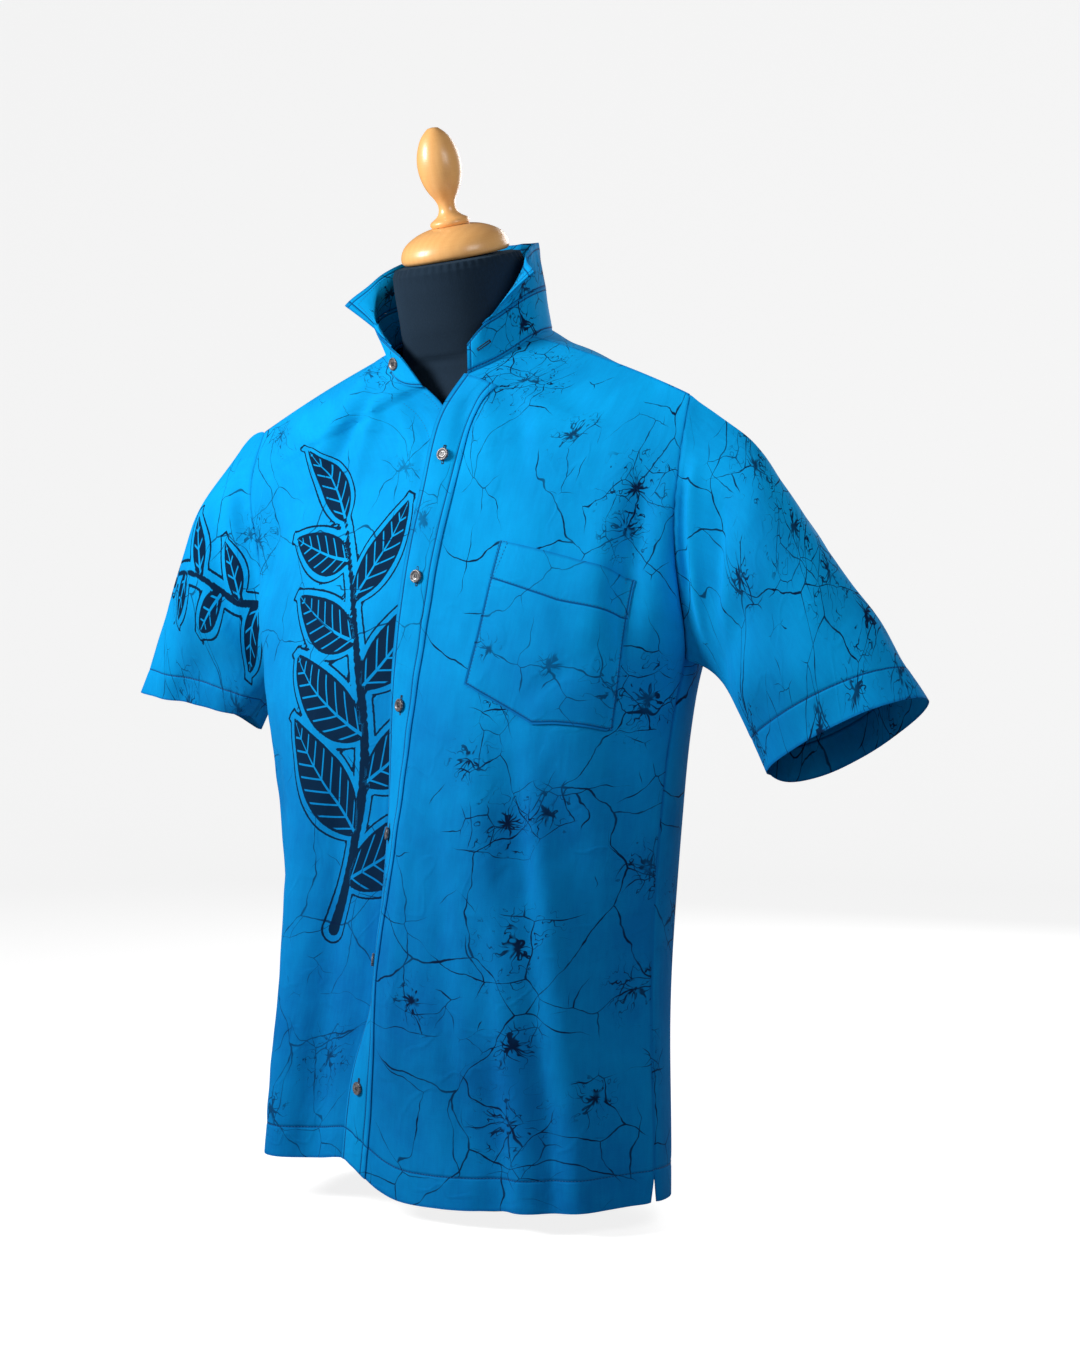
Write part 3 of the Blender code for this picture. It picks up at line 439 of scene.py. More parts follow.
    def row(self, panel: Panel, t: float) -> np.ndarray:
        """Draws one row of a panel, from its middle to its side.

        Args:
            panel: which piece. The right front is drawn as a left one.
            t: 0 at the hem, 1 at the armpit, 2 at the shoulder.

        Returns:
            Points of the row.
        """
        if t > 1:
            start = self.edge_point(panel, t - 1)
            end = self.edge_point("rear" if panel is Panel.BACK else "front", t - 1)
            if panel is Panel.RIGHT:
                start = start * (-1, 1, 1)
            return self.side_curve(start, end, t - 1, self.shoulder_rise * (t - 1) ** 3)
        z = self.hem_z + t * (self.armpit_z - self.hem_z)
        value = {name: float(self.level(name, z)) for name in self.stations[1:]}
        side = np.array([value["half_width"], value["side_y"], z])
        if panel is Panel.BACK:
            return self.side_curve(np.array([0.0, value["back_y"], z]), side, 0.0, 0.0)
        edge = np.array([value["edge_x"], value["edge_y"], z])
        turn = math.radians(value["turn"])
        across = np.array([math.cos(turn), -math.sin(turn), 0.0])
        if panel is Panel.LEFT:
            line = np.vstack([edge[None], self.side_curve(edge + across * self.strip, side, 0.0, 0.0)])
        else:
            inward = np.array([math.sin(turn), math.cos(turn), 0.0]) * self.lap_gap
            under = (edge + across * self.underlap + inward) * (-1, 1, 1)
            below = (edge + inward) * (-1, 1, 1)
            middle = np.array([self.lap_middle - edge[0], value["right_y"], z])
            line = np.vstack([under, below, self.side_curve(middle, side, 0.0, 0.0)])
        even = along(line, np.linspace(0, lengths(line)[-1], 160))
        return rounded(even, 7)

    def hem_lift(self, panel: Panel, distance: np.ndarray) -> np.ndarray:
        """Gives how far the hem is above its lowest height, by distance from a panel's middle."""
        middle = self.hem_middle[panel]
        side = self.right_hem_side if panel is Panel.RIGHT else self.hem_side
        lift = middle + (side - middle) * (distance / distance[-1]) ** 2
        if panel is Panel.BACK:
            return lift
        if panel is Panel.RIGHT:
            under = 33.0 - 10.0 * np.clip((self.underlap - distance) / self.underlap, 0, 1)
            return lift + (under - lift) * bell(np.maximum(distance - self.underlap, 0), 30)
        return lift + self.hem_closing * bell(distance, self.hem_closing_width)

    def front_fold(self, z: float, distance: np.ndarray) -> np.ndarray:
        """Gives the depth of the left front's largest fold at a height, by distance from the edge."""
        top, at_hem, at_top, width, depth = 470.0, 172.0, 118.0, 22.0, 9.0
        share = (z - self.hem_z) / (top - self.hem_z)
        if share >= 1:
            return np.zeros_like(distance)
        fade = math.sin(math.pi / 2 * min(1.0, 2.2 * (1 - share)))
        return depth * fade * bell(distance - at_hem - (at_top - at_hem) * share, width)

    def grid(self, panel: Panel) -> np.ndarray:
        """Lays out a panel's outer face, rows from hem to shoulder seam.

        Args:
            panel: which piece, or half of the back. The right front is drawn as a left one.

        Returns:
            Rows of points.
        """
        places = np.concatenate([np.linspace(0, 1, self.rows_below + 1),
                                 1 + np.linspace(0, 1, self.rows_above + 1)[1:]])
        rows = []
        for t in places:
            line = self.row(panel, t)
            total = lengths(line)[-1]
            distance = np.linspace(0, total, self.columns + 1)
            if panel is not Panel.BACK:
                lap = np.linspace(0, self.underlap, self.lap_columns + 1)
                rest = np.linspace(self.strip, total, self.columns - 1)
                distance = np.concatenate([lap, [(self.underlap + self.strip) / 2], rest])
            points = along(line, distance)
            if t < 1:
                points[:, 2] += self.hem_lift(panel, distance) * (1 - t) ** 2
                if panel is Panel.LEFT:
                    tangent = unit(np.gradient(points, axis=0))
                    inward = np.stack([-tangent[:, 1], tangent[:, 0], np.zeros(len(points))], -1)
                    points += inward * self.front_fold(points[0, 2], distance)[:, None]
            rows.append(points)
        return np.array(rows)

    def swung(self, grid: np.ndarray) -> np.ndarray:
        """Swings a panel's part below the armpits to the wearer's left."""
        grid = grid.copy()
        for i in range(self.rows_below):
            z = self.hem_z + i / self.rows_below * (self.armpit_z - self.hem_z)
            share = grid[i, :, 0] / float(self.level("half_width", z))
            grid[i, :, 0] += float(self.level("sway", z)) * share ** 2
        return grid

    def eased(self, grid: np.ndarray, reach: float = 13.0, passes: int = 90) -> np.ndarray:
        """Smooths the turn between the rows below and above the armpits.

        Args:
            grid: a panel's points.
            reach: how many rows the smoothing spreads over.
            passes: how often neighbouring rows are averaged.

        Returns:
            The smoother points, its side edge as it was.
        """
        rows, columns = grid.shape[:2]
        weight = bell(np.arange(rows) - self.rows_below, reach)[:, None, None]
        to_edge = columns - 1 - np.arange(columns)
        if grid[self.rows_below, 0, 0] * grid[self.rows_below, -1, 0] < -1e4:
            to_edge = np.minimum(to_edge, np.arange(columns))
        weight = weight * np.clip(to_edge / 8.0, 0, 1)[None, :, None]
        smooth = grid.copy()
        for _ in range(passes):
            mean = smooth.copy()
            mean[1:-1] = (smooth[:-2] + 2 * smooth[1:-1] + smooth[2:]) / 4
            smooth = smooth + (mean - smooth) * np.clip(weight * 3, 0, 1)
        return smooth

    @property
    def neck_row(self) -> int:
        """Row where a panel's inner edge meets the neck."""
        return self.rows_below + int(round(self.corner * self.rows_above))


def keep_behind(grid: np.ndarray, cover: np.ndarray, depth: float, reach: float, first: int) -> np.ndarray:
    """Moves the points of a grid that lie under a cover at least a depth behind it.

    Args:
        grid: the piece below.
        cover: the piece on top.
        depth: least distance between them.
        reach: how far beyond the cover's edge it still counts.
        first: the first row that is moved.

    Returns:
        The moved grid.
    """
    tree = surface_tree(cover)
    grid = grid.copy()
    for i in range(first, grid.shape[0]):
        for j in range(grid.shape[1]):
            x, y, z = grid[i, j]
            for aside in (0.0, reach, -reach):
                hit = tree.ray_cast(Vector((x + aside, -600.0, z)), Vector((0, 1, 0)))[0]
                if hit is not None and hit.y < 10:
                    grid[i, j, 1] = max(grid[i, j, 1], hit.y + depth)
    return grid


@dataclass
class Shell:
    """A cut piece as a thin shell: a grid of its outer face, and the measures its finish reads.

    The measures are the cloth's own places in metres ("cloth"), the way to the nearest crackle
    star and its strength ("burst"), the place in the nearest leaf ("leaf"), the distance to the
    printed shapes ("fill") and to the nearest sewn edge ("edge").
    """

    name: str
    grid: np.ndarray
    thickness: float = 0.9
    closed: bool = False
    flipped: bool = False
    measures: dict = field(default_factory=dict)
    merged: dict = field(default_factory=dict)
    open_column: int = -1

    def cloth_places(self) -> np.ndarray:
        """Lays the grid out flat: distance along its middle row, and along each column."""
        rows, columns = self.grid.shape[:2]
        step = np.linalg.norm(np.diff(self.grid, axis=1), axis=2).mean(axis=0)
        across = np.concatenate([[0], np.cumsum(step)])
        rise = np.linalg.norm(np.diff(self.grid, axis=0), axis=2)
        up = np.vstack([np.zeros((1, columns)), np.cumsum(rise, axis=0)])
        return np.stack([np.tile(across, (rows, 1)), up], -1)

    def marked(self, stars: tuple, *lines: tuple) -> None:
        """Stores the measures of crackle stars, edges and lines of stitching.

        Args:
            stars: the crackle stars.
            lines: signed distances to the lines.
        """
        places = self.cloth_places()
        self.measures = {"burst": crackle_stars(*np.moveaxis(places, -1, 0), stars),
                         "edge": edge_distance(places), "seam": seam_lines(*lines)}

    def build(self, material: Material) -> Object:
        """Makes the piece.

        Args:
            material: its finish.

        Returns:
            The object, riding on the root body.
        """
        rows, columns = self.grid.shape[:2]
        normals = grid_normals(self.grid, self.closed) * (-1 if self.flipped else 1)
        inner = self.grid - normals * self.thickness
        cells = grid_cells(rows, columns, self.closed)
        cells = [cell for cell in cells if cell[0] % columns != self.open_column]
        if self.flipped:
            cells = [tuple(reversed(cell)) for cell in cells]
        cells = [tuple(self.merged.get(v, v) for v in cell) for cell in cells]
        used = sorted({v for cell in cells for v in cell})
        place = {v: k for k, v in enumerate(used)}
        cells = [tuple(place[v] for v in cell) for cell in cells]
        count = len(used)
        faces = cells + [tuple(count + v for v in reversed(cell)) for cell in cells]
        edges: dict[tuple[int, int], bool] = {}
        for cell in cells:
            for a, b in zip(cell, cell[1:] + cell[:1]):
                if (b, a) in edges:
                    del edges[(b, a)]
                else:
                    edges[(a, b)] = True
        faces += [(b, a, count + a, count + b) for a, b in edges]
        vertices = np.vstack([self.grid.reshape(-1, 3)[used], inner.reshape(-1, 3)[used]]) * MM
        thing = new_object(self.name, vertices, faces, material)
        places = self.measures.get("cloth", self.cloth_places())
        measures = {"cloth": np.concatenate([places * MM, np.zeros(places.shape[:2] + (1,))], -1)}
        measures["seam"] = np.ones(places.shape[:2] + (3,))
        measures.update({k: v for k, v in self.measures.items() if k != "cloth"})
        for name, values in measures.items():
            flat = values.reshape(rows * columns, -1)[used]
            both = np.vstack([flat, flat]).astype(np.float32)
            kind = "FLOAT_VECTOR" if both.shape[1] == 3 else "FLOAT"
            attribute = thing.data.attributes.new(name, kind, "POINT")
            attribute.data.foreach_set("vector" if kind == "FLOAT_VECTOR" else "value", both.ravel())
        return thing


def placed(name: str, data: bpy.types.ID) -> Object:
    """Puts a mesh, a lamp or a camera into the scene."""
    thing = bpy.data.objects.new(name, data)
    bpy.context.scene.collection.objects.link(thing)
    return thing


def new_object(name: str, vertices: np.ndarray, faces: list, material: Material,
               sharp: float = 50.0) -> Object:
    """Makes a smooth-shaded object that rides on the root body.

    Args:
        name: the piece's name.
        vertices: places in metres.
        faces: vertex numbers of each face.
        material: its finish.
        sharp: edges bent more than this many degrees stay sharp.

    Returns:
        The object.
    """
    mesh = bpy.data.meshes.new(name)
    mesh.from_pydata([tuple(v) for v in vertices], [], faces)
    mesh.materials.append(material)
    mesh.shade_smooth()
    mesh.set_sharp_from_angle(angle=math.radians(sharp))
    thing = placed(name, mesh)
    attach(thing, "root")
    LOG.info("%s: %d faces", name, len(mesh.polygons))
    return thing


def declare(shell: Shell, material: Material, node: str, held: str, *rests_on: str) -> None:
    """Makes a cloth piece and hides the solid it replaces.

    Args:
        shell: its shape.
        material: its finish.
        node: the solid it replaces.
        held: how the cloth is held; not used.
        rests_on: what it lies on; not used.
    """
    thing = shell.build(material)
    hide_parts(node)


@dataclass
class Stitching:
    """Rows of small thread stitches, joined as one mesh."""

    name: str
    pitch: float = 2.9
    length: float = 2.1
    width: float = 0.42
    vertices: list = field(default_factory=list)
    faces: list = field(default_factory=list)

    def bead(self, start: np.ndarray, end: np.ndarray, outward: np.ndarray,
             width: float | None = None) -> None:
        """Adds one stitch: a thread that dips into the cloth at both ends.

        Args:
            start: where it comes up.
            end: where it goes down.
            outward: away from the cloth.
            width: thickness of the thread, if not the seam's own.
        """
        width = width or self.width
        side = unit(np.cross(end - start, outward)) * width / 2
        base = len(self.vertices)
        top = outward * width * 0.55
        for share in (0.3, 0.7):
            place = start + (end - start) * share
            self.vertices += [place + side, place + top, place - side]
        self.vertices += [start - outward * width * 0.4, end - outward * width * 0.4]
        a, b = base + 6, base + 7
        for k in range(2):
            self.faces += [(base + k, base + k + 1, base + 4 + k, base + 3 + k),
                           (a, base + k + 1, base + k), (b, base + 3 + k, base + 4 + k)]

    def run(self, points: np.ndarray, outward: np.ndarray, lift: float = 0.05) -> None:
        """Adds stitches along a line.

        Args:
            points: places on the cloth's face.
            outward: away from the cloth at each place.
            lift: of the line above the face.
        """
        total = lengths(points)[-1]
        count = max(1, int(total / self.pitch))
        starts = (np.arange(count) + 0.15) * total / count
        ends = starts + self.length
        first, last = along(points, starts), along(points, np.minimum(ends, total))
        place = lengths(points)
        for a, b, at in zip(first, last, starts):
            way = unit(np.array([np.interp(at, place, outward[:, k]) for k in range(3)]))
            self.bead(a + way * lift, b + way * lift, way)

    def at_measure(self, grid: np.ndarray, outward: np.ndarray, measure: np.ndarray, at: float,
                   first: int = 0) -> None:
        """Adds stitches across a grid, where a measure that rises up its columns has one value.

        Args:
            grid: the cloth's points.
            outward: away from the cloth at each point.
            measure: a number for each point.
            at: its value on the line.
            first: the first column that is stitched.
        """
        lines = [[[np.interp(at, measure[:, j], part[:, j, k]) for k in range(3)]
                  for j in range(first, grid.shape[1])] for part in (grid, outward)]
        self.run(*map(np.array, lines))

    def build(self, material: Material) -> Object:
        """Makes the joined stitches."""
        thing = new_object(self.name, np.array(self.vertices) * MM, self.faces, material, 80.0)
        return thing


class Graph:
    """A short way to lay nodes in a material or a node group."""

    def __init__(self, tree: NodeTree) -> None:
        """Keeps the tree the nodes go into."""
        self.tree = tree

    def node(self, kind: str, inputs: dict | None = None, **settings: object) -> Node:
        """Adds a node.

        Args:
            kind: its type name.
            inputs: a value or another node's output for each named or numbered input.
            settings: its own properties.

        Returns:
            The node.
        """
        made = self.tree.nodes.new(kind)
        for key, value in settings.items():
            setattr(made, key, value)
        self.feed(made, inputs or {})
        return made

    def feed(self, node: Node, inputs: dict) -> None:
        """Gives each named or numbered input of a node a value or another node's output."""
        for key, value in inputs.items():
            if isinstance(value, NodeSocket):
                self.tree.links.new(value, node.inputs[key])
            else:
                node.inputs[key].default_value = value

    def math(self, operation: str, first: object, second: object = 0.0, third: object = 0.0,
             clamp: bool = False) -> NodeSocket:
        """Adds a Math node and gives its output."""
        return self.node("ShaderNodeMath", {0: first, 1: second, 2: third}, operation=operation,
                         use_clamp=clamp).outputs[0]

    def vector(self, operation: str, first: object, second: object = (0, 0, 0),
               scale: float | None = None) -> NodeSocket:
        """Adds a Vector Math node and gives its vector."""
        inputs = {0: first, 1: second}
        if scale is not None:
            inputs = {0: first, "Scale": scale}
        return self.node("ShaderNodeVectorMath", inputs, operation=operation).outputs[0]

    def length(self, vector: NodeSocket) -> NodeSocket:
        """Gives a vector's length."""
        return self.node("ShaderNodeVectorMath", {0: vector}, operation="LENGTH").outputs["Value"]

    def split(self, vector: NodeSocket) -> bpy.types.NodeOutputs:
        """Gives a vector's three parts."""
        return self.node("ShaderNodeSeparateXYZ", {0: vector}).outputs

    def join(self, x: object, y: object, z: object = 0.0) -> NodeSocket:
        """Makes a vector of three parts."""
        return self.node("ShaderNodeCombineXYZ", {0: x, 1: y, 2: z}).outputs[0]

    def ramp(self, value: object, low: float, high: float, start: float = 0.0, end: float = 1.0,
             ) -> NodeSocket:
        """Eases a value from start to end as it goes from low to high."""
        inputs = {0: value, 1: low, 2: high, 3: start, 4: end}
        return self.node("ShaderNodeMapRange", inputs, interpolation_type="SMOOTHSTEP").outputs[0]

    def noise(self, vector: object, scale: float, detail: float = 2.0, rough: float = 0.5,
              ) -> bpy.types.ShaderNodeTexNoise:
        """Adds a noise texture."""
        return self.node("ShaderNodeTexNoise", {"Vector": vector, "Scale": scale, "Detail": detail,
                                                "Roughness": rough})

    def grain(self, vector: object, scale: float, detail: float = 2.0, rough: float = 0.5,
              ) -> NodeSocket:
        """Reads a noise texture's value."""
        return self.noise(vector, scale, detail, rough).outputs["Fac"]

    def mix(self, factor: object, first: object, second: object) -> NodeSocket:
        """Mixes two colours."""
        mixer = self.node("ShaderNodeMix", {0: factor, 6: first, 7: second}, data_type="RGBA")
        return mixer.outputs[2]

    def bump(self, height: object) -> NodeSocket:
        """Turns a height in metres into a bumpy normal."""
        return self.node("ShaderNodeBump", {"Height": height, "Strength": 0.6, "Distance": 1.0}).outputs[0]

    def place(self) -> NodeSocket:
        """Gives the place on the object, in metres."""
        return self.node("ShaderNodeTexCoord").outputs["Object"]

    def attribute(self, name: str) -> bpy.types.ShaderNodeAttribute:
        """Reads a measure stored on the mesh."""
        return self.node("ShaderNodeAttribute", attribute_name=name)


def new_group(name: str, inputs: tuple, outputs: tuple) -> tuple[NodeTree, Graph, object, object]:
    """Starts a shader node group.

    Args:
        name: its name.
        inputs: name, kind (Float, Vector or Color) and value of each input.
        outputs: name and kind of each output.

    Returns:
        The group, its graph, its inputs' sockets by name and the output node.
    """
    group = bpy.data.node_groups.new(name, "ShaderNodeTree")
    for title, kind, value in inputs:
        socket = group.interface.new_socket(name=title, in_out="INPUT", socket_type=f"NodeSocket{kind}")
        if value is not None:
            socket.default_value = value
    for title, kind in outputs:
        group.interface.new_socket(name=title, in_out="OUTPUT", socket_type=f"NodeSocket{kind}")
    graph = Graph(group)
    source = group.nodes.new("NodeGroupInput").outputs
    result = group.nodes.new("NodeGroupOutput")
    return group, graph, source, result


def crackle_group() -> NodeTree:
    """Builds the dark veins where dye ran through cracked wax.

    Returns:
        A group that turns cloth places and the way to the nearest star into a mask.
    """
    inputs = (("Cloth", "Vector", None), ("Burst", "Vector", None), ("Amount", "Float", 1.0))
    group, g, source, result = new_group("Crackle", inputs, (("Mask", "Float"), ("Haze", "Float")))
    cloth = source["Cloth"]
    warp = g.vector("SUBTRACT", g.noise(cloth, 9, 3).outputs["Color"], (0.5, 0.5, 0.5))
    fine_warp = g.vector("SUBTRACT", g.noise(cloth, 55, 2).outputs["Color"], (0.5, 0.5, 0.5))
    bent = g.vector("ADD", cloth, g.vector("SCALE", warp, scale=0.075))
    bent = g.vector("ADD", bent, g.vector("SCALE", fine_warp, scale=0.006))
    star = g.split(source["Burst"])
    near = star[2]
    swell = g.ramp(g.grain(cloth, 70, 2), 0.3, 0.75, 0.45, 1.5)
    masks = []
    for scale, width, patch_scale, cut in ((8.5, 0.0052, 5.5, 0.43), (17.0, 0.0085, 9.0, 0.49),
                                           (36.0, 0.0150, 16.0, 0.58)):
        place = g.vector("ADD", bent, (scale * 0.37, scale * 0.11, 0))
        web = g.node("ShaderNodeTexVoronoi", {"Vector": place, "Scale": scale}, feature="DISTANCE_TO_EDGE",
                     voronoi_dimensions="2D").outputs["Distance"]
        patch = g.grain(g.vector("ADD", cloth, (scale, 0, 0)), patch_scale, 2)
        reach = g.math("ADD", patch, g.math("MULTIPLY", near, 0.12 if scale < 10 else 0.28))
        strength = g.ramp(reach, cut, cut + 0.12)
        thin = g.math("MULTIPLY", g.math("MULTIPLY", swell, strength), width)
        line = g.math("DIVIDE", web, g.math("MAXIMUM", thin, 0.0001))
        masks.append(g.math("MULTIPLY", g.ramp(line, 0.6, 1.5, 1, 0), g.ramp(strength, 0.05, 0.5)))
    away = g.join(star[0], star[1])
    distance = g.length(away)
    way = g.node("ShaderNodeVectorMath", {0: away}, operation="NORMALIZE").outputs[0]
    twist = g.vector("SCALE", g.vector("ADD", warp, fine_warp), scale=1.6)
    rays = g.grain(g.vector("ADD", g.vector("ADD", way, twist), cloth), 1.6, 1)
    ray = g.math("ABSOLUTE", g.math("SUBTRACT", rays, 0.5))
    spike = g.ramp(distance, 0, 0.016, 0.0009, 0.00042)
    thin = g.math("DIVIDE", spike, g.math("MAXIMUM", distance, 0.0008))
    ray = g.ramp(g.math("DIVIDE", ray, g.math("MAXIMUM", thin, 0.0001)), 0.25, 0.8, 1, 0)
    patches = g.ramp(g.grain(cloth, 90, 1), 0.34, 0.50)
    ray = g.math("MULTIPLY", ray, g.math("MULTIPLY", patches, g.ramp(near, 0.12, 0.50)))
    knot_noise = g.grain(cloth, 330, 2)
    knot = g.math("SUBTRACT", g.math("MULTIPLY", knot_noise, 0.0040), distance)
    knot = g.math("MULTIPLY", g.ramp(knot, 0, 0.0012), g.ramp(near, 0.5, 0.9))
    mask = masks[0]
    for other in masks[1:] + [ray, knot]:
        mask = g.math("MAXIMUM", mask, other)
    fade = g.ramp(g.grain(cloth, 24, 2), 0.30, 0.60, 0.7, 1)
    total = g.math("MULTIPLY", g.math("MULTIPLY", mask, fade), source["Amount"], clamp=True)
    g.feed(result, {"Mask": total})
    g.feed(result, {"Haze": g.math("MULTIPLY", near, 0.12)})
    return group


def leaf_group() -> NodeTree:
    """Builds the printed leaves from each point's place in its leaf.

    Returns:
        A group that gives a mask of the dark print.
    """
    inputs = (("Leaf", "Vector", None), ("Fill", "Float", None), ("Cloth", "Vector", None))
    group, g, source, result = new_group("LeafPrint", inputs, (("Mask", "Float"),))
    rough = g.math("MULTIPLY", g.math("SUBTRACT", g.grain(source["Cloth"], 420, 2), 0.5), 0.9)
    fill = g.math("ADD", source["Fill"], rough)
    leaf = g.split(source["Leaf"])
    solid = g.ramp(fill, -0.35, 0.35, 1, 0)
    beside = g.math("ABSOLUTE", leaf[1])
    rib_width = g.math("MULTIPLY", g.math("SUBTRACT", 1.15, leaf[2]), 0.0014)
    rib = g.ramp(g.math("SUBTRACT", beside, rib_width), -0.0002, 0.0003, 1, 0)
    slant = g.math("SUBTRACT", leaf[0], g.math("MULTIPLY", beside, 0.9))
    pulse = g.math("ABSOLUTE", g.math("SUBTRACT", g.math("FRACT", g.math("DIVIDE", slant, 0.0135)), 0.5))
    side_rib = g.ramp(pulse, 0.055, 0.095, 1, 0)
    inside = g.ramp(fill, -3.4, -2.4, 1, 0)
    side_rib = g.math("MULTIPLY", side_rib, inside)
    pale = g.math("MULTIPLY", g.math("MAXIMUM", rib, side_rib), g.ramp(leaf[2], 0, 0.02))
    pale = g.math("MULTIPLY", pale, g.ramp(fill, -1.4, -0.9, 1, 0))
    echo = g.math("ABSOLUTE", g.math("SUBTRACT", fill, 6))
    echo = g.ramp(echo, 0.7, 1.2, 1, 0)
    mask = g.math("MAXIMUM", g.math("MULTIPLY", solid, g.math("SUBTRACT", 1, pale)), echo)
    g.feed(result, {"Mask": mask})
    return group


def weave_group() -> NodeTree:
    """Builds the plain weave: a height and an uneven tone of the threads."""
    outputs = (("Height", "Float"), ("Tone", "Float"))
    group, g, source, result = new_group("Weave", (("Cloth", "Vector", None),), outputs)
    across = g.vector("MULTIPLY", source["Cloth"], (2400, 90, 1))
    up = g.vector("MULTIPLY", source["Cloth"], (90, 2400, 1))
    warp = g.grain(across, 1, 1)
    weft = g.grain(up, 1, 1)
    height = g.math("MAXIMUM", warp, weft)
    slub = g.grain(g.vector("MULTIPLY", source["Cloth"], (260, 30, 1)), 1, 2)
    tone = g.math("ADD", g.math("MULTIPLY", height, 0.6), g.math("MULTIPLY", slub, 0.4))
    g.feed(result, {"Height": height})
    g.feed(result, {"Tone": tone})
    return group


def wrinkle_group() -> NodeTree:
    """Builds the small press wrinkles of worn cotton, as a height."""
    group, g, source, result = new_group("Wrinkles", (("Cloth", "Vector", None),), (("Height", "Float"),))
    bent = g.vector("ADD", source["Cloth"], g.vector("SCALE", g.noise(source["Cloth"], 12).outputs["Color"],
                                                     scale=0.05))
    broad = g.grain(g.vector("MULTIPLY", bent, (1, 0.45, 1)), 26, 3, 0.45)
    crease = g.math("ABSOLUTE", g.math("SUBTRACT", g.grain(bent, 13, 2), 0.5))
    crease = g.ramp(crease, 0, 0.03, 1, 0)
    g.feed(result, {"Height": g.math("ADD", broad, g.math("MULTIPLY", crease, 0.10))})
    return group


def new_material(name: str) -> tuple[Material, Graph, Node]:
    """Starts a material.

    Args:
        name: its name.

    Returns:
        The material, its graph and its Principled shader.
    """
    material = bpy.data.materials.new(name)
    material.use_nodes = True
    return material, Graph(material.node_tree), material.node_tree.nodes["Principled BSDF"]


@dataclass(frozen=True)
class BatikFinish:
    """Matt cotton dyed blue in uneven washes, with crackle veins and, on some pieces, leaves, and with
    painted shade: darker lower down on the form, along each piece's edges and seams, and along its lines of
    stitching.
    """

    name: str
    light: THREE = (0.0004, 0.365, 0.80)
    # deep blue of the dye's washes, and the colour the painted shade darkens towards
    deep: THREE = (0.0002, 0.148, 0.44)
    # dark blue of the crackle veins, also used for the painted shade in the stitched grooves
    vein_and_groove_shade: THREE = (0.001, 0.012, 0.050)
    print_colour: THREE = (0.0008, 0.017, 0.052)
    crackle: float = 1.0
    leaves: bool = False
    # strength of the painted shade that darkens the cloth lower down on the form
    painted_lower_shade: float = 0.66
    roughness: float = 0.82

    def build(self, groups: dict[str, NodeTree]) -> Material:
        """Makes the material.

        Args:
            groups: the shared node groups by name.

        Returns:
            The material.
        """
        material, g, shader = new_material(self.name)
        cloth = g.attribute("cloth").outputs["Vector"]
        weave, wrinkle, crackle = (g.node("ShaderNodeGroup", {"Cloth": cloth}, node_tree=groups[name])
                                   for name in ("weave", "wrinkle", "crackle"))
        g.feed(crackle, {"Burst": g.attribute("burst").outputs["Vector"], "Amount": self.crackle})
        wash_and_shade = g.ramp(g.grain(cloth, 7, 4, 0.6), 0.3, 0.75, 0, 0.42)
        # Painted shade: the noise wash above is the dye's own, and the cloth is also drawn towards the deep
        # colour lower down on the form, by height, for the shade on the lower body.
        height = g.split(g.place())[2]
        wash_and_shade = g.math("ADD", wash_and_shade, g.ramp(height, 0.22, 0.68, self.painted_lower_shade, 0))
        tone = g.math("MULTIPLY", g.math("SUBTRACT", weave.outputs["Tone"], 0.5), 0.5)
        # Painted shade: the cloth is drawn towards the deep colour within 3 mm of each piece's edges and
        # seams, and within about 1 mm of its lines of stitching; the crackle haze added after is the dye's
        # own.
        edge = g.ramp(g.attribute("edge").outputs["Fac"], 0, 0.003, 0.45, 0)
        gaps = g.split(g.attribute("seam").outputs["Vector"])
        gap = g.math("MINIMUM", g.math("ABSOLUTE", gaps[0]), g.math("ABSOLUTE", gaps[1]))
        gap = g.math("MINIMUM", gap, g.math("ABSOLUTE", gaps[2]))
        edge = g.math("MAXIMUM", edge, g.ramp(gap, 0.0003, 0.0011, 0.95, 0))
        edge = g.math("ADD", crackle.outputs["Haze"], edge)
        factor = g.math("ADD", g.math("ADD", wash_and_shade, tone), edge, clamp=True)
        colour = g.mix(factor, (*self.light, 1), (*self.deep, 1))
        # Painted shade: a thin dark line along each line of stitching, for the shade in its pressed groove.
        colour = g.mix(g.ramp(gap, 0.0002, 0.0007, 0.55, 0), colour, (*self.vein_and_groove_shade, 1))
        if self.leaves:
            inputs = {"Leaf": g.attribute("leaf").outputs["Vector"],
                      "Fill": g.attribute("fill").outputs["Fac"], "Cloth": cloth}
            leaf = g.node("ShaderNodeGroup", inputs, node_tree=groups["leaf"])
            colour = g.mix(leaf.outputs["Mask"], colour, (*self.print_colour, 1))
        colour = g.mix(crackle.outputs["Mask"], colour, (*self.vein_and_groove_shade, 1))
        g.feed(shader, {"Base Color": colour, "Roughness": self.roughness, "Specular IOR Level": 0.05,
                        "Sheen Weight": 0.03, "Sheen Roughness": 0.5, "Sheen Tint": (0.35, 0.75, 1, 1)})
        relief = g.math("ADD", g.math("MULTIPLY", weave.outputs["Height"], 0.00014),
                        g.math("MULTIPLY", wrinkle.outputs["Height"], 0.0030))
        relief = g.math("ADD", relief, g.ramp(gap, 0, 0.0022, 0, 0.0008))
        g.feed(shader, {"Normal": g.bump(relief)})
        return material


@dataclass(frozen=True)
class ThreadFinish:
    """Twisted sewing thread."""

    name: str
    colour: THREE

    def build(self) -> Material:
        """Makes the material."""
        material, g, shader = new_material(self.name)
        place = g.place()
        twist = g.grain(place, 2600, 1)
        dark = tuple(0.6 * part for part in self.colour)
        colour = g.mix(twist, (*dark, 1), (*self.colour, 1))
        g.feed(shader, {"Base Color": colour, "Roughness": 0.6})
        return material


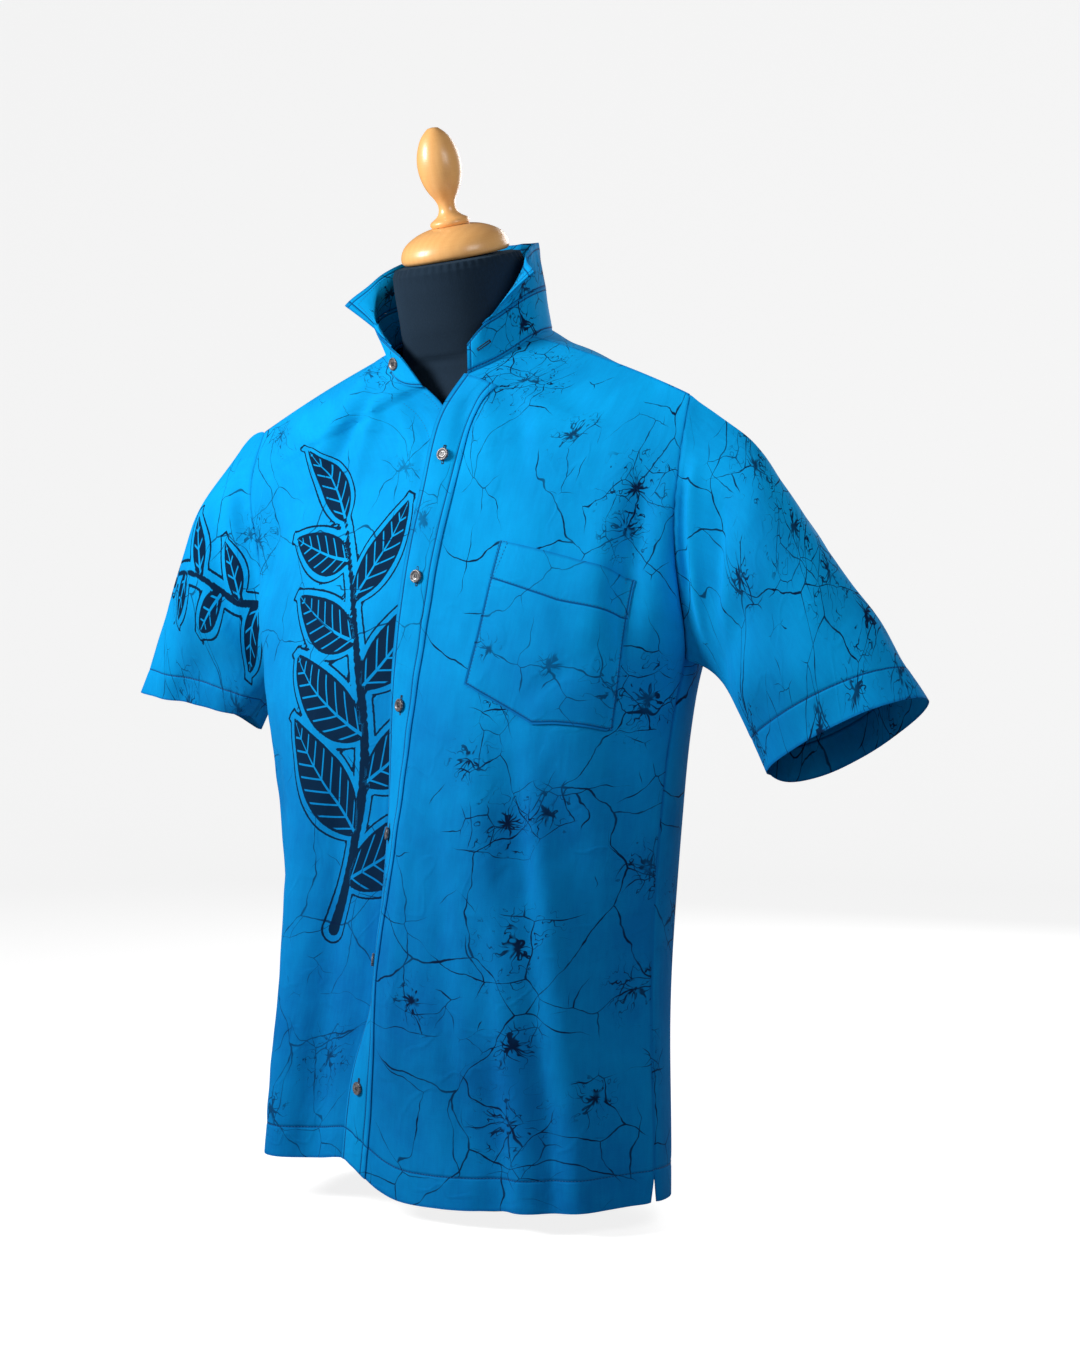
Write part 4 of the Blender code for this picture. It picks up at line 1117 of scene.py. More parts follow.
@dataclass(frozen=True)
class WoodFinish:
    """Varnished turned beech, its grain along the turning axis."""

    name: str
    pale: THREE = (1.0, 0.55, 0.20)
    dark: THREE = (0.84, 0.385, 0.11)
    lean: float = 16.5

    def build(self) -> Material:
        """Makes the material."""
        material, g, shader = new_material(self.name)
        place = g.place()
        turned = g.node("ShaderNodeMapping", {"Vector": place, "Rotation": (-math.radians(self.lean), 0, 0)},
                        vector_type="POINT").outputs[0]
        part = g.split(turned)
        fibres = g.grain(g.vector("MULTIPLY", turned, (900, 900, 60)), 1, 3)
        bent = g.vector("ADD", turned, g.vector("SCALE", g.noise(turned, 22).outputs["Color"], scale=0.012))
        rings = g.node("ShaderNodeTexWave", {"Vector": bent, "Scale": 42, "Distortion": 2, "Detail": 2},
                       wave_type="BANDS", bands_direction="X").outputs["Fac"]
        lathe = g.grain(g.join(0, 0, g.math("MULTIPLY", part[2], 900)), 1, 2)
        factor = g.math("ADD", g.math("MULTIPLY", rings, 0.16), g.math("MULTIPLY", fibres, 0.5), clamp=True)
        factor = g.math("ADD", factor, g.math("MULTIPLY", g.math("SUBTRACT", lathe, 0.5), 0.35), clamp=True)
        g.feed(shader, {"Base Color": g.mix(factor, (*self.pale, 1), (*self.dark, 1)),
                        "Roughness": g.ramp(fibres, 0.3, 0.8, 0.34, 0.46), "Coat Weight": 0.35,
                        "Coat Roughness": 0.22})
        height = g.math("ADD", g.math("MULTIPLY", fibres, 0.00008), g.math("MULTIPLY", lathe, 0.00016))
        g.feed(shader, {"Normal": g.bump(height)})
        return material


@dataclass(frozen=True)
class JerseyFinish:
    """Fine black knitted jersey, a little bluish and faded."""

    name: str
    dark: THREE = (0.006, 0.015, 0.028)
    pale: THREE = (0.015, 0.033, 0.058)

    def build(self) -> Material:
        """Makes the material."""
        material, g, shader = new_material(self.name)
        place = g.place()
        wales = g.grain(g.vector("MULTIPLY", place, (1500, 1500, 260)), 1, 1)
        cloud = g.grain(place, 18, 3)
        lint = g.ramp(g.grain(place, 800, 1), 0.74, 0.80, 0, 0.35)
        factor = g.math("ADD", g.math("MULTIPLY", wales, 0.5), g.math("MULTIPLY", cloud, 0.45), clamp=True)
        colour = g.mix(g.math("ADD", factor, lint, clamp=True), (*self.dark, 1), (*self.pale, 1))
        g.feed(shader, {"Base Color": colour, "Roughness": 0.88, "Specular IOR Level": 0.12,
                        "Sheen Weight": 0.08, "Sheen Tint": (0.3, 0.6, 0.95, 1)})
        g.feed(shader, {"Normal": g.bump(g.math("MULTIPLY", wales, 0.0003))})
        return material


@dataclass(frozen=True)
class ButtonFinish:
    """Grey-brown cast button with cloudy streaks and a satin face."""

    name: str
    pale: THREE = (0.20, 0.18, 0.18)
    dark: THREE = (0.030, 0.026, 0.028)

    def build(self) -> Material:
        """Makes the material."""
        material, g, shader = new_material(self.name)
        place = g.place()
        cloud = g.grain(g.vector("MULTIPLY", place, (260, 260, 900)), 1, 3, 0.6)
        colour = g.mix(g.ramp(cloud, 0.32, 0.68), (*self.pale, 1), (*self.dark, 1))
        g.feed(shader, {"Base Color": colour, "Roughness": g.ramp(cloud, 0.3, 0.7, 0.28, 0.42),
                        "Coat Weight": 0.25})
        return material


@dataclass(frozen=True)
class PaleFloor:
    """Seamless pale studio paper."""

    name: str
    colour: THREE = (0.36, 0.36, 0.36)
    glow: float = 0.85

    def build(self) -> Material:
        """Makes the material."""
        material, g, shader = new_material(self.name)
        place = g.place()
        grain = g.grain(place, 500, 2)
        near = tuple(part * 0.985 for part in self.colour)
        g.feed(shader, {"Base Color": g.mix(grain, (*near, 1), (*self.colour, 1)), "Roughness": 0.95,
                        "Specular IOR Level": 0.1, "Emission Color": (1, 1, 1, 1)})
        sight = g.node("ShaderNodeLightPath").outputs["Is Camera Ray"]
        g.feed(shader, {"Emission Strength": g.math("MULTIPLY", sight, self.glow)})
        material.cycles.emission_sampling = "NONE"
        return material


@dataclass(frozen=True)
class Leaf:
    """One printed leaf: its foot, direction, size and how it bends, in a piece's own measures."""

    foot: tuple[float, float]
    bearing: float
    length: float
    width: float
    bend: float = 0.12

    def read(self, across: np.ndarray, up: np.ndarray) -> tuple[np.ndarray, np.ndarray]:
        """Finds each point's place in the leaf.

        Args:
            across: first measure of each point.
            up: second measure of each point.

        Returns:
            Distance to the leaf's outline, negative inside, and the place along and beside its rib.
        """
        angle = math.radians(self.bearing)
        x = (across - self.foot[0]) * math.sin(angle) + (up - self.foot[1]) * math.cos(angle)
        y = (across - self.foot[0]) * math.cos(angle) - (up - self.foot[1]) * math.sin(angle)
        share = np.clip(x / self.length, 0, 1)
        y = y - self.bend * self.length * share ** 2
        half = self.width / 2 * np.sin(math.pi * share ** 0.8) ** 0.85
        outline = np.maximum(np.abs(y) - half, np.maximum(-x, x - self.length))
        return outline, np.stack([x * MM, y * MM, share], -1)


@dataclass
class Spray:
    """A stem with leaves on both sides."""

    stem: tuple[tuple[float, float], ...]
    pairs: int
    leaf_length: float
    leaf_width: float
    stem_width: float = 8.0
    spread: float = 56.0

    def leaves(self) -> list[Leaf]:
        """Places the leaves along the stem, each a little smaller than the last."""
        line = smooth_path(tuple((a, u, 0.0) for a, u in self.stem))
        way = unit(np.gradient(line, axis=0))
        made = []
        for k in range(self.pairs + 1):
            share = 0.12 + 0.88 * k / self.pairs
            i = min(len(line) - 1, int(share * (len(line) - 1)))
            heading = math.degrees(math.atan2(way[i, 0], way[i, 1]))
            size = 1.0 - 0.38 * share
            last = k == self.pairs
            side = 1 if k % 2 else -1
            bearing = heading if last else heading + side * self.spread
            made.append(Leaf((line[i, 0], line[i, 1]), bearing, self.leaf_length * size,
                             self.leaf_width * size, 0.0 if last else -side * 0.16))
        return made

    def measures(self, across: np.ndarray, up: np.ndarray) -> dict[str, np.ndarray]:
        """Measures the print at each point.

        Args:
            across: first measure of each point.
            up: second measure of each point.

        Returns:
            The "fill" and "leaf" measures of a shell.
        """
        line = smooth_path(tuple((a, u, 0.0) for a, u in self.stem), 60)
        gap = np.full(across.shape, 1e9)
        for i, (a, u, _) in enumerate(line):
            taper = self.stem_width / 2 * (1 - 0.6 * i / len(line))
            gap = np.minimum(gap, np.hypot(across - a, up - u) - taper)
        place = np.tile(np.array([0.0, 0.05, 0.0]), across.shape + (1,))
        for leaf in self.leaves():
            outline, inside = leaf.read(across, up)
            nearer = outline < gap
            gap = np.where(nearer, outline, gap)
            place = np.where(nearer[..., None], inside, place)
        return {"fill": gap, "leaf": place}


def crackle_stars(across: np.ndarray, up: np.ndarray, stars: tuple) -> np.ndarray:
    """Finds the nearest of the stars that crackle veins run together in.

    Args:
        across: first measure of each point.
        up: second measure of each point.
        stars: across, up, reach in millimetres and strength of each star.

    Returns:
        The "burst" measure: the way from the nearest star in metres, and its strength.
    """
    best = np.full(across.shape, 1e9)
    burst = np.zeros(across.shape + (3,))
    for star_across, star_up, reach, strength in stars:
        gap = np.hypot(across - star_across, up - star_up)
        nearer = gap / reach < best
        best = np.where(nearer, gap / reach, best)
        new = np.stack([(across - star_across) * MM, (up - star_up) * MM,
                        strength * bell(gap, reach)], -1)
        burst = np.where(nearer[..., None], new, burst)
    return burst


def edge_distance(places: np.ndarray) -> np.ndarray:
    """Measures each point's distance to the nearest edge of its grid, in metres."""
    across, up = np.moveaxis(places, -1, 0)
    side = np.minimum(across - across[:, :1], across[:, -1:] - across)
    end = np.minimum(up - up[:1], up[-1:] - up)
    return np.minimum(side, end) * MM


def seam_lines(*gaps: np.ndarray) -> np.ndarray:
    """Packs up to three signed distances to lines of stitching, in millimetres, as the "seam" measure."""
    far = np.full(gaps[0].shape, 1000.0)
    return np.stack(list(gaps) + [far] * (3 - len(gaps)), -1) * MM


@dataclass
class Fronts:
    """Both fronts, the closing strip and the pocket."""

    shape: BodyShape
    materials: dict[str, Material]
    cloth_gap: float = 1.0
    seam_ease: float = 14.0
    hem_depth: float = 27.0
    pocket_corner: THREE = (104.0, -80.0, 577.0)
    pocket_turn: float = -11.0
    pocket_width: float = 130.0
    pocket_side: float = 124.0
    pocket_point: float = 141.0
    pocket_cells: int = 44
    pocket_hem: float = 32.0
    pocket_inset: float = 1.8
    strip_inset: float = 4.5
    left_folds: tuple[Fold, ...] = (
        Fold(((120, 455), (134, 330), (146, 200), (161, 0)), 11, -6, 0.3, 0),
        Fold(((92, 440), (108, 300), (121, 170), (132, 0)), 15, 7, 0.35, 0),
        Fold(((150, 440), (172, 310), (190, 190), (206, 0)), 22, -9, 0.3, 0),
        Fold(((138, 410), (156, 300), (170, 190), (182, 0)), 15, 4, 0.4, 0),
        Fold(((46, 430), (62, 300), (74, 180), (84, 0)), 14, -4.5, 0.35, 0.3),
        Fold(((224, 660), (217, 590), (211, 510), (208, 420)), 13, -9, 0.3, 0.45),
        Fold(((198, 640), (191, 560), (186, 470)), 15, 4, 0.4, 0.5),
        Fold(((54, 714), (47, 672), (52, 600)), 9, -4.2, 0.2, 0.6),
        Fold(((75, 718), (103, 676), (118, 610)), 10, -3.4, 0.2, 0.6),
        Fold(((66, 716), (76, 670), (86, 610)), 9, 2.4, 0.2, 0.6),
        Fold(((112, 722), (150, 690), (205, 668)), 12, -2.6, 0.3, 0.5),
        Fold(((30, 420), (26, 260), (8, 60)), 8, 2, 0.4, 0.4),
        Fold(((186, 480), (150, 452), (118, 440)), 12, -2.4, 0.4, 0.5),
    )
    right_folds: tuple[Fold, ...] = (
        Fold(((-42, 730), (-75, 700), (-109, 664), (-138, 615)), 9, -4.6, 0.12, 0.5),
        Fold(((-62, 735), (-96, 706), (-132, 668), (-160, 620)), 11, 3.6, 0.15, 0.5),
        Fold(((-52, 716), (-70, 680), (-84, 640), (-92, 600)), 8, 2.6, 0.2, 0.5),
        Fold(((-28, 722), (-10, 692), (8, 662), (16, 636)), 6, -3, 0.15, 0.4),
        Fold(((-40, 712), (-22, 676), (-10, 640), (-4, 600)), 8, 2.6, 0.2, 0.5),
        Fold(((-60, 440), (-72, 260), (-92, 0)), 18, -7.5, 0.4, 0),
        Fold(((-112, 430), (-122, 250), (-134, 0)), 22, 6.5, 0.4, 0),
        Fold(((-165, 470), (-160, 250), (-164, 0)), 17, -7.5, 0.4, 0),
        Fold(((-205, 640), (-204, 560), (-200, 480)), 12, -5, 0.4, 0.5),
    )
    left_stars: tuple = (
        (233, 597, 38, 1), (227, 563, 26, 0.9), (243, 422, 34, 1),
        (264, 277, 28, 1), (258, 178, 26, 0.9), (157, 221, 38, 1),
        (160, 73, 34, 1), (136, 326, 30, 0.95), (169, 332, 24, 0.8),
        (48, 718, 44, 1), (120, 440, 26, 0.8), (150, 655, 26, 0.55),
        (98, 381, 24, 0.6), (224, 93, 24, 0.6), (72, 175, 26, 0.55),
        (160, 140, 22, 0.75), (300, 350, 30, 0.8), (305, 110, 26, 0.7),
    )
    right_stars: tuple = (
        (70, 90, 34, 1), (250, 250, 30, 0.8), (262, 560, 34, 0.8),
        (30, 748, 30, 0.8), (128, 40, 24, 0.7), (200, 140, 32, 0.7),
        (60, 612, 24, 0.4), (285, 410, 26, 0.9), (215, 660, 28, 0.7),
    )
    left: np.ndarray = field(default=None)
    right: np.ndarray = field(default=None)
    strip: np.ndarray = field(default=None)

    def relieved(self, grid: np.ndarray, folds: tuple[Fold, ...], flipped: bool, seed: int,
                 stiff: float) -> np.ndarray:
        """Adds folds, hem puckers and an uneven hang to a panel.

        Args:
            grid: its plain form.
            folds: its troughs and ridges, by X and Z.
            flipped: whether its columns run to the wearer's right.
            seed: which uneven hang.
            stiff: width beside the closing that folds leave flat.

        Returns:
            The finished outer face.
        """
        grid = self.shape.eased(grid)
        outward = grid_normals(grid) * (-1 if flipped else 1)
        x, z = grid[..., 0], grid[..., 2]
        relief = sum(fold.relief(x, z) for fold in folds)
        relief = relief + 1.3 * soft_noise(x, z * 0.45, 120, seed)
        relief += 0.35 * soft_noise(x, z * 0.6, 38, seed + 1)
        across, up = np.moveaxis(Shell("", grid).cloth_places(), -1, 0)
        to_side = across[:, -1:] - across
        relief *= 1 - bell(across + 4, stiff)
        pucker = 0.45 * soft_noise(x, z * 0.2, 15, seed + 2)
        relief = sewn(relief, up, to_side, self.seam_ease, self.hem_depth, pucker) + pucker * bell(to_side, 6)
        return vented(grid + outward * relief[..., None], up, to_side)

    def build_left(self) -> None:
        """Makes the left front."""
        grid = self.shape.swung(self.shape.grid(Panel.LEFT))
        self.left = self.relieved(grid, self.left_folds, False, 11, 20.0)
        shell = Shell("left_front", self.left)
        up = shell.cloth_places()[..., 1]
        shell.marked(self.left_stars, up - self.hem_depth)
        declare(shell, self.materials["cloth"], "front_left", "draped", "form_torso")
        stitches = Stitching("left_hem_stitches")
        first = self.shape.lap_columns + 2
        stitches.at_measure(self.left, grid_normals(self.left), up, self.hem_depth, first)
        stitches.build(self.materials["thread"])

    def build_right(self) -> None:
        """Makes the right front, which laps under the left."""
        shape = self.shape
        grid = shape.swung(shape.grid(Panel.RIGHT) * (-1, 1, 1))
        right = self.relieved(grid, self.right_folds, True, 23, 26.0)
        lap = shape.lap_columns + 1
        below = slice(0, shape.rows_below + 1)
        under = self.left - grid_normals(self.left) * self.cloth_gap * 1.5
        right[below, :lap] = under[below, :lap][:, ::-1]
        right = keep_behind(right, self.left, self.cloth_gap * 1.5, 4.0, shape.rows_below + 1)
        self.right = right
        shell = Shell("right_front", right, flipped=True)
        across, up = np.moveaxis(shell.cloth_places(), -1, 0)
        spray = Spray(((88, 205), (60, 330), (74, 460), (128, 570)), 8, 132, 58, 13)
        shell.marked(self.right_stars, up - self.hem_depth)
        shell.measures.update(spray.measures(across, up))
        declare(shell, self.materials["printed"], "front_right", "draped", "form_torso")
        stitches = Stitching("right_hem_stitches")
        stitches.at_measure(right, -grid_normals(right), up, self.hem_depth, shape.lap_columns + 2)
        top = slice(shape.rows_below + 8, shape.neck_row)
        outward = -grid_normals(right)
        for column in (2, 11):
            stitches.run(right[top, column], outward[top, column])
        stitches.build(self.materials["thread"])

    def build_strip(self) -> None:
        """Makes the closing strip on the left front's edge, with its edge stitches."""
        rows, columns = self.shape.neck_row + 1, self.shape.lap_columns + 3
        base = self.left[:rows, :columns]
        outward = grid_normals(self.left)[:rows, :columns]
        lift = np.full(base.shape[:2], self.cloth_gap + 0.6)
        across = Shell("", base).cloth_places()[..., 0]
        height = base[..., 2]
        for inset in (self.strip_inset, self.shape.strip - self.strip_inset):
            lift -= 0.30 * bell(across - inset, 1.6)
        lift += 0.55 * bell(across - self.shape.strip / 2, 12)
        lift += 0.35 * soft_noise(across * 1.2, height * 0.5, 30, 41)
        lift[:, 0] = self.cloth_gap + 0.1
        lift[:, -1] = self.cloth_gap + 0.1
        self.strip = base + outward * lift[..., None]
        self.strip[:, 0] -= unit(base[:, 1] - base[:, 0]) * 0.5
        shell = Shell("closing_strip", self.strip, thickness=0.8)
        across, up = np.moveaxis(shell.cloth_places(), -1, 0)
        shell.marked(((20, 250, 20, 0.8), (12, 560, 18, 0.6)),
                     across - self.strip_inset, across - self.shape.strip + self.strip_inset,
                     up - self.hem_depth)
        declare(shell, self.materials["strip"], "placket", "stretched", "left_front")
        stitches = Stitching("closing_stitches")
        ways = grid_normals(self.strip)
        for inset in (self.strip_inset, self.shape.strip - self.strip_inset):
            points = np.array([[np.interp(inset, across[i], self.strip[i, :, k]) for k in range(3)]
                               for i in range(rows)])
            stitches.run(points, ways[:, 2])
        stitches.build(self.materials["thread"])

    def build_pocket(self) -> None:
        """Makes the chest pocket with its pointed foot, hem and corner bars."""
        tree = surface_tree(self.left)
        turn = math.radians(self.pocket_turn)
        across = Vector((math.cos(turn), 0, math.sin(turn)))
        down = Vector((math.sin(turn), 0, -math.cos(turn)))
        n = self.pocket_cells
        laid = np.zeros((n + 1, n + 1, 3))
        ways = np.zeros((n + 1, n + 1, 3))
        for j in range(n + 1):
            top = walk(tree, Vector(self.pocket_corner), across, j / n * self.pocket_width)[0]
            foot = self.pocket_side + (self.pocket_point - self.pocket_side) * (1 - abs(2 * j / n - 1))
            for i in range(n + 1):
                place, way = walk(tree, top, down, (1 - i / n) * foot)
                laid[i, j], ways[i, j] = place, way
        u = np.linspace(0, self.pocket_width, n + 1)[None] * np.ones((n + 1, 1))
        v = np.linspace(0, self.pocket_side, n + 1)[:, None] * np.ones((1, n + 1))
        rim = np.minimum(np.minimum(u, self.pocket_width - u), v)
        from_top = self.pocket_side - v
        lift = 1.15 + 1.5 * (1 - bell(rim, 22))
        lift += 1.3 * bell(from_top, 16) * np.sin(math.pi * u / self.pocket_width)
        lift -= 0.35 * bell(rim - self.pocket_inset, 1.2)
        lift -= 0.45 * bell(from_top - self.pocket_hem, 1.8)
        lift += 0.45 * soft_noise(u, v * 0.6, 46, 57) * (1 - bell(rim, 12))
        outer = laid + ways * lift[..., None]
        shell = Shell("chest_pocket", outer, thickness=0.8)
        places = shell.cloth_places() + (130.0, 420.0)
        stars = ((146, 458, 12, 0.9), (204, 470, 10, 0.8), (262, 452, 30, 0.8))
        shell.measures = {"cloth": places, "burst": crackle_stars(*np.moveaxis(places, -1, 0), stars),
                          "edge": np.minimum(rim, from_top) * MM,
                          "seam": seam_lines(rim - self.pocket_inset, from_top - self.pocket_hem)}
        declare(shell, self.materials["plain"], "pocket", "stretched", "left_front")
        stitches = Stitching("pocket_stitches")
        normal = grid_normals(outer)
        inset = max(1, int(round(self.pocket_inset / (self.pocket_width / n))))
        stitches.run(outer[:, inset], normal[:, inset])
        stitches.run(outer[:, -1 - inset], normal[:, -1 - inset])
        stitches.run(outer[inset], normal[inset])
        hem_row = int(round((1 - self.pocket_hem / self.pocket_side) * n))
        stitches.run(outer[hem_row], normal[hem_row])
        for edge, inward in ((0, 1), (-1, -1)):
            start, end = outer[hem_row, edge], outer[-1, edge]
            foot, corner = outer[hem_row, edge + inward], outer[-1, edge + 3 * inward]
            ends = ((start, end), (foot, corner), (end, corner))
            for a, b in ends:
                share = np.linspace(0, 1, 12)[:, None]
                stitches.run(a + (b - a) * share, np.tile(normal[n // 2, n // 2], (12, 1)), 0.35)
        stitches.build(self.materials["thread"])


@dataclass
class Back:
    """The back, one piece from side seam to side seam."""

    shape: BodyShape
    materials: dict[str, Material]
    folds: tuple[Fold, ...] = (
        Fold(((-135, 560), (-122, 400), (-108, 200), (-98, 0)), 24, -8, 0.35, 0),
        Fold(((-70, 520), (-66, 330), (-58, 150), (-54, 0)), 20, 5.5, 0.4, 0),
        Fold(((-20, 470), (-16, 280), (-14, 100), (-10, 0)), 18, -6, 0.4, 0),
        Fold(((48, 560), (46, 400), (40, 200), (44, 0)), 24, 5, 0.4, 0),
        Fold(((96, 600), (92, 420), (86, 230), (88, 0)), 21, -8.5, 0.35, 0),
        Fold(((150, 520), (146, 330), (140, 150), (146, 0)), 19, 5, 0.4, 0),
        Fold(((-205, 610), (-150, 590), (-90, 596)), 15, -3.6, 0.2, 0.5),
        Fold(((206, 640), (150, 604), (96, 600)), 15, -3.8, 0.2, 0.5),
        Fold(((-214, 520), (-176, 500), (-150, 440)), 14, -3.4, 0.2, 0.5),
        Fold(((214, 540), (182, 500), (166, 430)), 14, -3.8, 0.2, 0.5),
        Fold(((-50, 760), (-20, 742), (14, 741), (48, 758)), 10, -2, 0.3, 0.3),
    )
    stars: tuple = (
        (90, 610, 40, 1), (210, 690, 34, 0.9), (330, 560, 38, 1),
        (450, 640, 34, 0.8), (150, 430, 36, 0.9), (280, 350, 32, 1),
        (420, 400, 38, 0.9), (520, 470, 30, 0.8), (70, 250, 34, 0.9),
        (200, 180, 36, 1), (360, 190, 30, 0.8), (480, 240, 36, 1),
        (120, 70, 30, 0.8), (300, 60, 34, 0.9), (430, 90, 28, 0.9),
        (550, 120, 30, 0.8), (30, 430, 28, 0.7), (560, 330, 28, 0.9),
    )
    seam_ease: float = 16.0
    hem_depth: float = 27.0

    @staticmethod
    def meeting(half: np.ndarray, front: np.ndarray, reach: float = 14.0) -> np.ndarray:
        """Brings the top of half a back onto the front's shoulder seam.

        Args:
            half: the half's points.
            front: the front's top row.
            reach: how many rows the change spreads over.

        Returns:
            The half's points, its top row on the seam.
        """
        order = np.argsort(front[:, 0])
        seam = [np.interp(half[-1, :, 0], front[order, 0], front[order, k]) for k in range(3)]
        near = bell(np.arange(len(half)) - len(half) + 1, reach)
        return half + (np.stack(seam, -1) - half[-1]) * near[:, None, None]

    def build(self) -> None:
        """Makes the back and its hem stitches."""
        shape = self.shape
        half = shape.grid(Panel.BACK)
        right = half.copy()
        part = 1 - np.arange(shape.rows_below) / shape.rows_below
        rise = shape.right_hem_side - shape.hem_side
        right[:shape.rows_below, :, 2] += rise * np.linspace(0, 1, half.shape[1]) ** 2 * part[:, None] ** 2
        right = self.meeting(right, shape.grid(Panel.RIGHT)[-1])
        half = self.meeting(half, shape.grid(Panel.LEFT)[-1])
        grid = np.concatenate([shape.swung(right * (-1, 1, 1))[:, ::-1], shape.swung(half)], axis=1)
        grid = shape.eased(grid)
        outward = -grid_normals(grid)
        x, z = grid[..., 0], grid[..., 2]
        relief = sum(fold.relief(x, z) for fold in self.folds)
        relief = relief + 1.6 * soft_noise(x, z * 0.4, 130, 31)
        places = Shell("", grid).cloth_places()
        across, up = np.moveaxis(places, -1, 0)
        to_side = np.minimum(across, across[:, -1:] - across)
        pucker = 0.45 * soft_noise(x, z * 0.2, 15, 33)
        relief = sewn(relief, up, to_side, self.seam_ease, self.hem_depth, pucker)
        grid = grid + outward * relief[..., None]
        grid = vented(grid, up, across[:, -1:] - across)
        grid = vented(grid[:, ::-1], up[:, ::-1], across[:, ::-1])[:, ::-1]
        rows, columns = grid.shape[:2]
        middle = columns // 2
        merged = {i * columns + middle: i * columns + middle - 1 for i in range(shape.neck_row + 1)}
        shell = Shell("back_panel", grid, flipped=True, merged=merged, open_column=middle - 1)
        shell.measures = {"burst": crackle_stars(across, up, self.stars), "edge": edge_distance(places),
                          "seam": seam_lines(up - self.hem_depth)}
        declare(shell, self.materials["cloth"], "back", "draped", "form_torso")
        stitches = Stitching("back_hem_stitches")
        stitches.at_measure(grid, -grid_normals(grid), up, self.hem_depth)
        stitches.build(self.materials["thread"])


@dataclass
class Collar:
    """The collar stand on the neck seam, and the leaf worn turned up."""

    shape: BodyShape
    materials: dict[str, Material]
    stand_line: tuple = ((-160, 70, 741), (-146, 75, 753), (-127, 84, 771),
                         (-88, 79, 797), (-45, 69, 806), (0, 66, 809), (51, 66, 806),
                         (90, 66, 793), (116, 71, 775), (131, 77, 762))
    leaf_line: tuple = ((-113, 119, 795), (-108, 103, 811), (-97, 86, 830),
                        (-75, 72, 843), (-40, 63, 850), (0, 60, 852), (48, 59, 846),
                        (80, 61, 837), (98, 73, 824), (107, 102, 806))
    stand_end: THREE = (141, 71, 746)
    coarse: int = 26
    leaf_start: int = 1
    finer: int = 7
    rows: int = 14
    wall: float = 1.4
    leaf_inset: float = 5.5
    stand: np.ndarray = field(default=None)

    def finer_line(self, points: np.ndarray) -> np.ndarray:
        """Divides a line of places more finely on a smooth curve."""
        count = len(points)
        return spline(np.arange(count), points, np.linspace(0, count - 1, (count - 1) * self.finer + 1))

    def build(self) -> None:
        """Makes the stand, the leaf and their stitches."""
        centre = self.shape.neck_centre
        base = self.shape.ring(self.shape.neck_line, count=self.coarse + 1)
        tall = self.shape.ring(self.stand_line, count=self.coarse)
        bearing = math.radians(self.stand_end[0])
        corner = (centre[0] + self.stand_end[1] * math.sin(bearing),
                  centre[1] + self.stand_end[1] * math.cos(bearing), self.stand_end[2])
        tall = np.vstack([tall, corner])
        low, high = self.finer_line(base), self.finer_line(tall)
        share = np.linspace(0, 1, self.rows + 1)[:, None, None]
        stand = low + (high - low) * share
        outward = grid_normals(stand)
        index = np.arange(stand.shape[1])[None, :] + 0.0 * share[..., 0]
        uneven = soft_noise(index * 3, share[..., 0] * 30 + 0 * index, 40, 71)[..., None]
        stand += outward * (0.5 * np.sin(math.pi * share) + 0.25 * uneven)
        stand[0] += outward[0] * 0.5
        self.stand = stand
        shell = Shell("collar_stand_band", stand, thickness=self.wall)
        across, up = np.moveaxis(shell.cloth_places(), -1, 0)
        stars = ((across.max() - 62, 14, 34, 0.75), (120, 18, 26, 0.7), (250, 8, 24, 0.8))
        shell.marked(stars, up - 2.5, across.max() - across - 4.0, up[-1:] - up - 2.0)
        declare(shell, self.materials["cloth"], "collar_stand", "stretched",
                "left_front", "right_front", "back_panel")
        stitches = Stitching("collar_stitches")
        normal = grid_normals(stand)
        for face, way in ((stand, normal), (stand - normal * self.wall, -normal)):
            stitches.run(face[1], way[1])
            stitches.run(face[-2], way[-2])

        edge = self.shape.ring(self.leaf_line, count=self.coarse - self.leaf_start)
        low = high[self.leaf_start * self.finer:(self.coarse - 1) * self.finer + 1]
        high = self.finer_line(edge)
        leaf = low + (high - low) * share
        columns = leaf.shape[1]
        index = np.arange(columns)[None, :] + 0.0 * share[..., 0]
        toward = unit((np.array([centre[0], centre[1], 0.0]) - leaf) * (1, 1, 0))
        roll = 9.0 * bell(columns - 1 - index, 16) + 4.0 * bell(index, 14)
        bulge = roll * np.sin(math.pi * share[..., 0] ** 0.9)
        bulge += 1.2 * soft_noise(index * 3, share[..., 0] * 40 + 0 * index, 60, 77) * share[..., 0]
        leaf = leaf + toward * bulge[..., None]
        shell = Shell("collar_leaf_turned_up", leaf, thickness=self.wall)
        across, up = np.moveaxis(shell.cloth_places(), -1, 0)
        stars = ((across.max() - 40, 12, 26, 1), (across.max() - 16, 30, 16, 0.8),
                 (60, 22, 24, 0.7), (190, 20, 30, 0.9), (250, 10, 22, 0.8))
        from_end = np.minimum(across, across.max() - across)
        shell.marked(stars, from_end - self.leaf_inset, up[-1:] - up - self.leaf_inset, up - 1.5)
        declare(shell, self.materials["cloth"], "collar_leaf", "stretched", "collar_stand_band")
        normal = grid_normals(leaf)
        for face, way in ((leaf, normal), (leaf - normal * self.wall, -normal)):
            inset = 2
            stitches.run(face[-1 - inset, 5:-5], way[-1 - inset, 5:-5])
            stitches.run(face[1:-inset, 5], way[1:-inset, 5])
            stitches.run(face[1:-inset, -6], way[1:-inset, -6])
        stitches.build(self.materials["thread"])


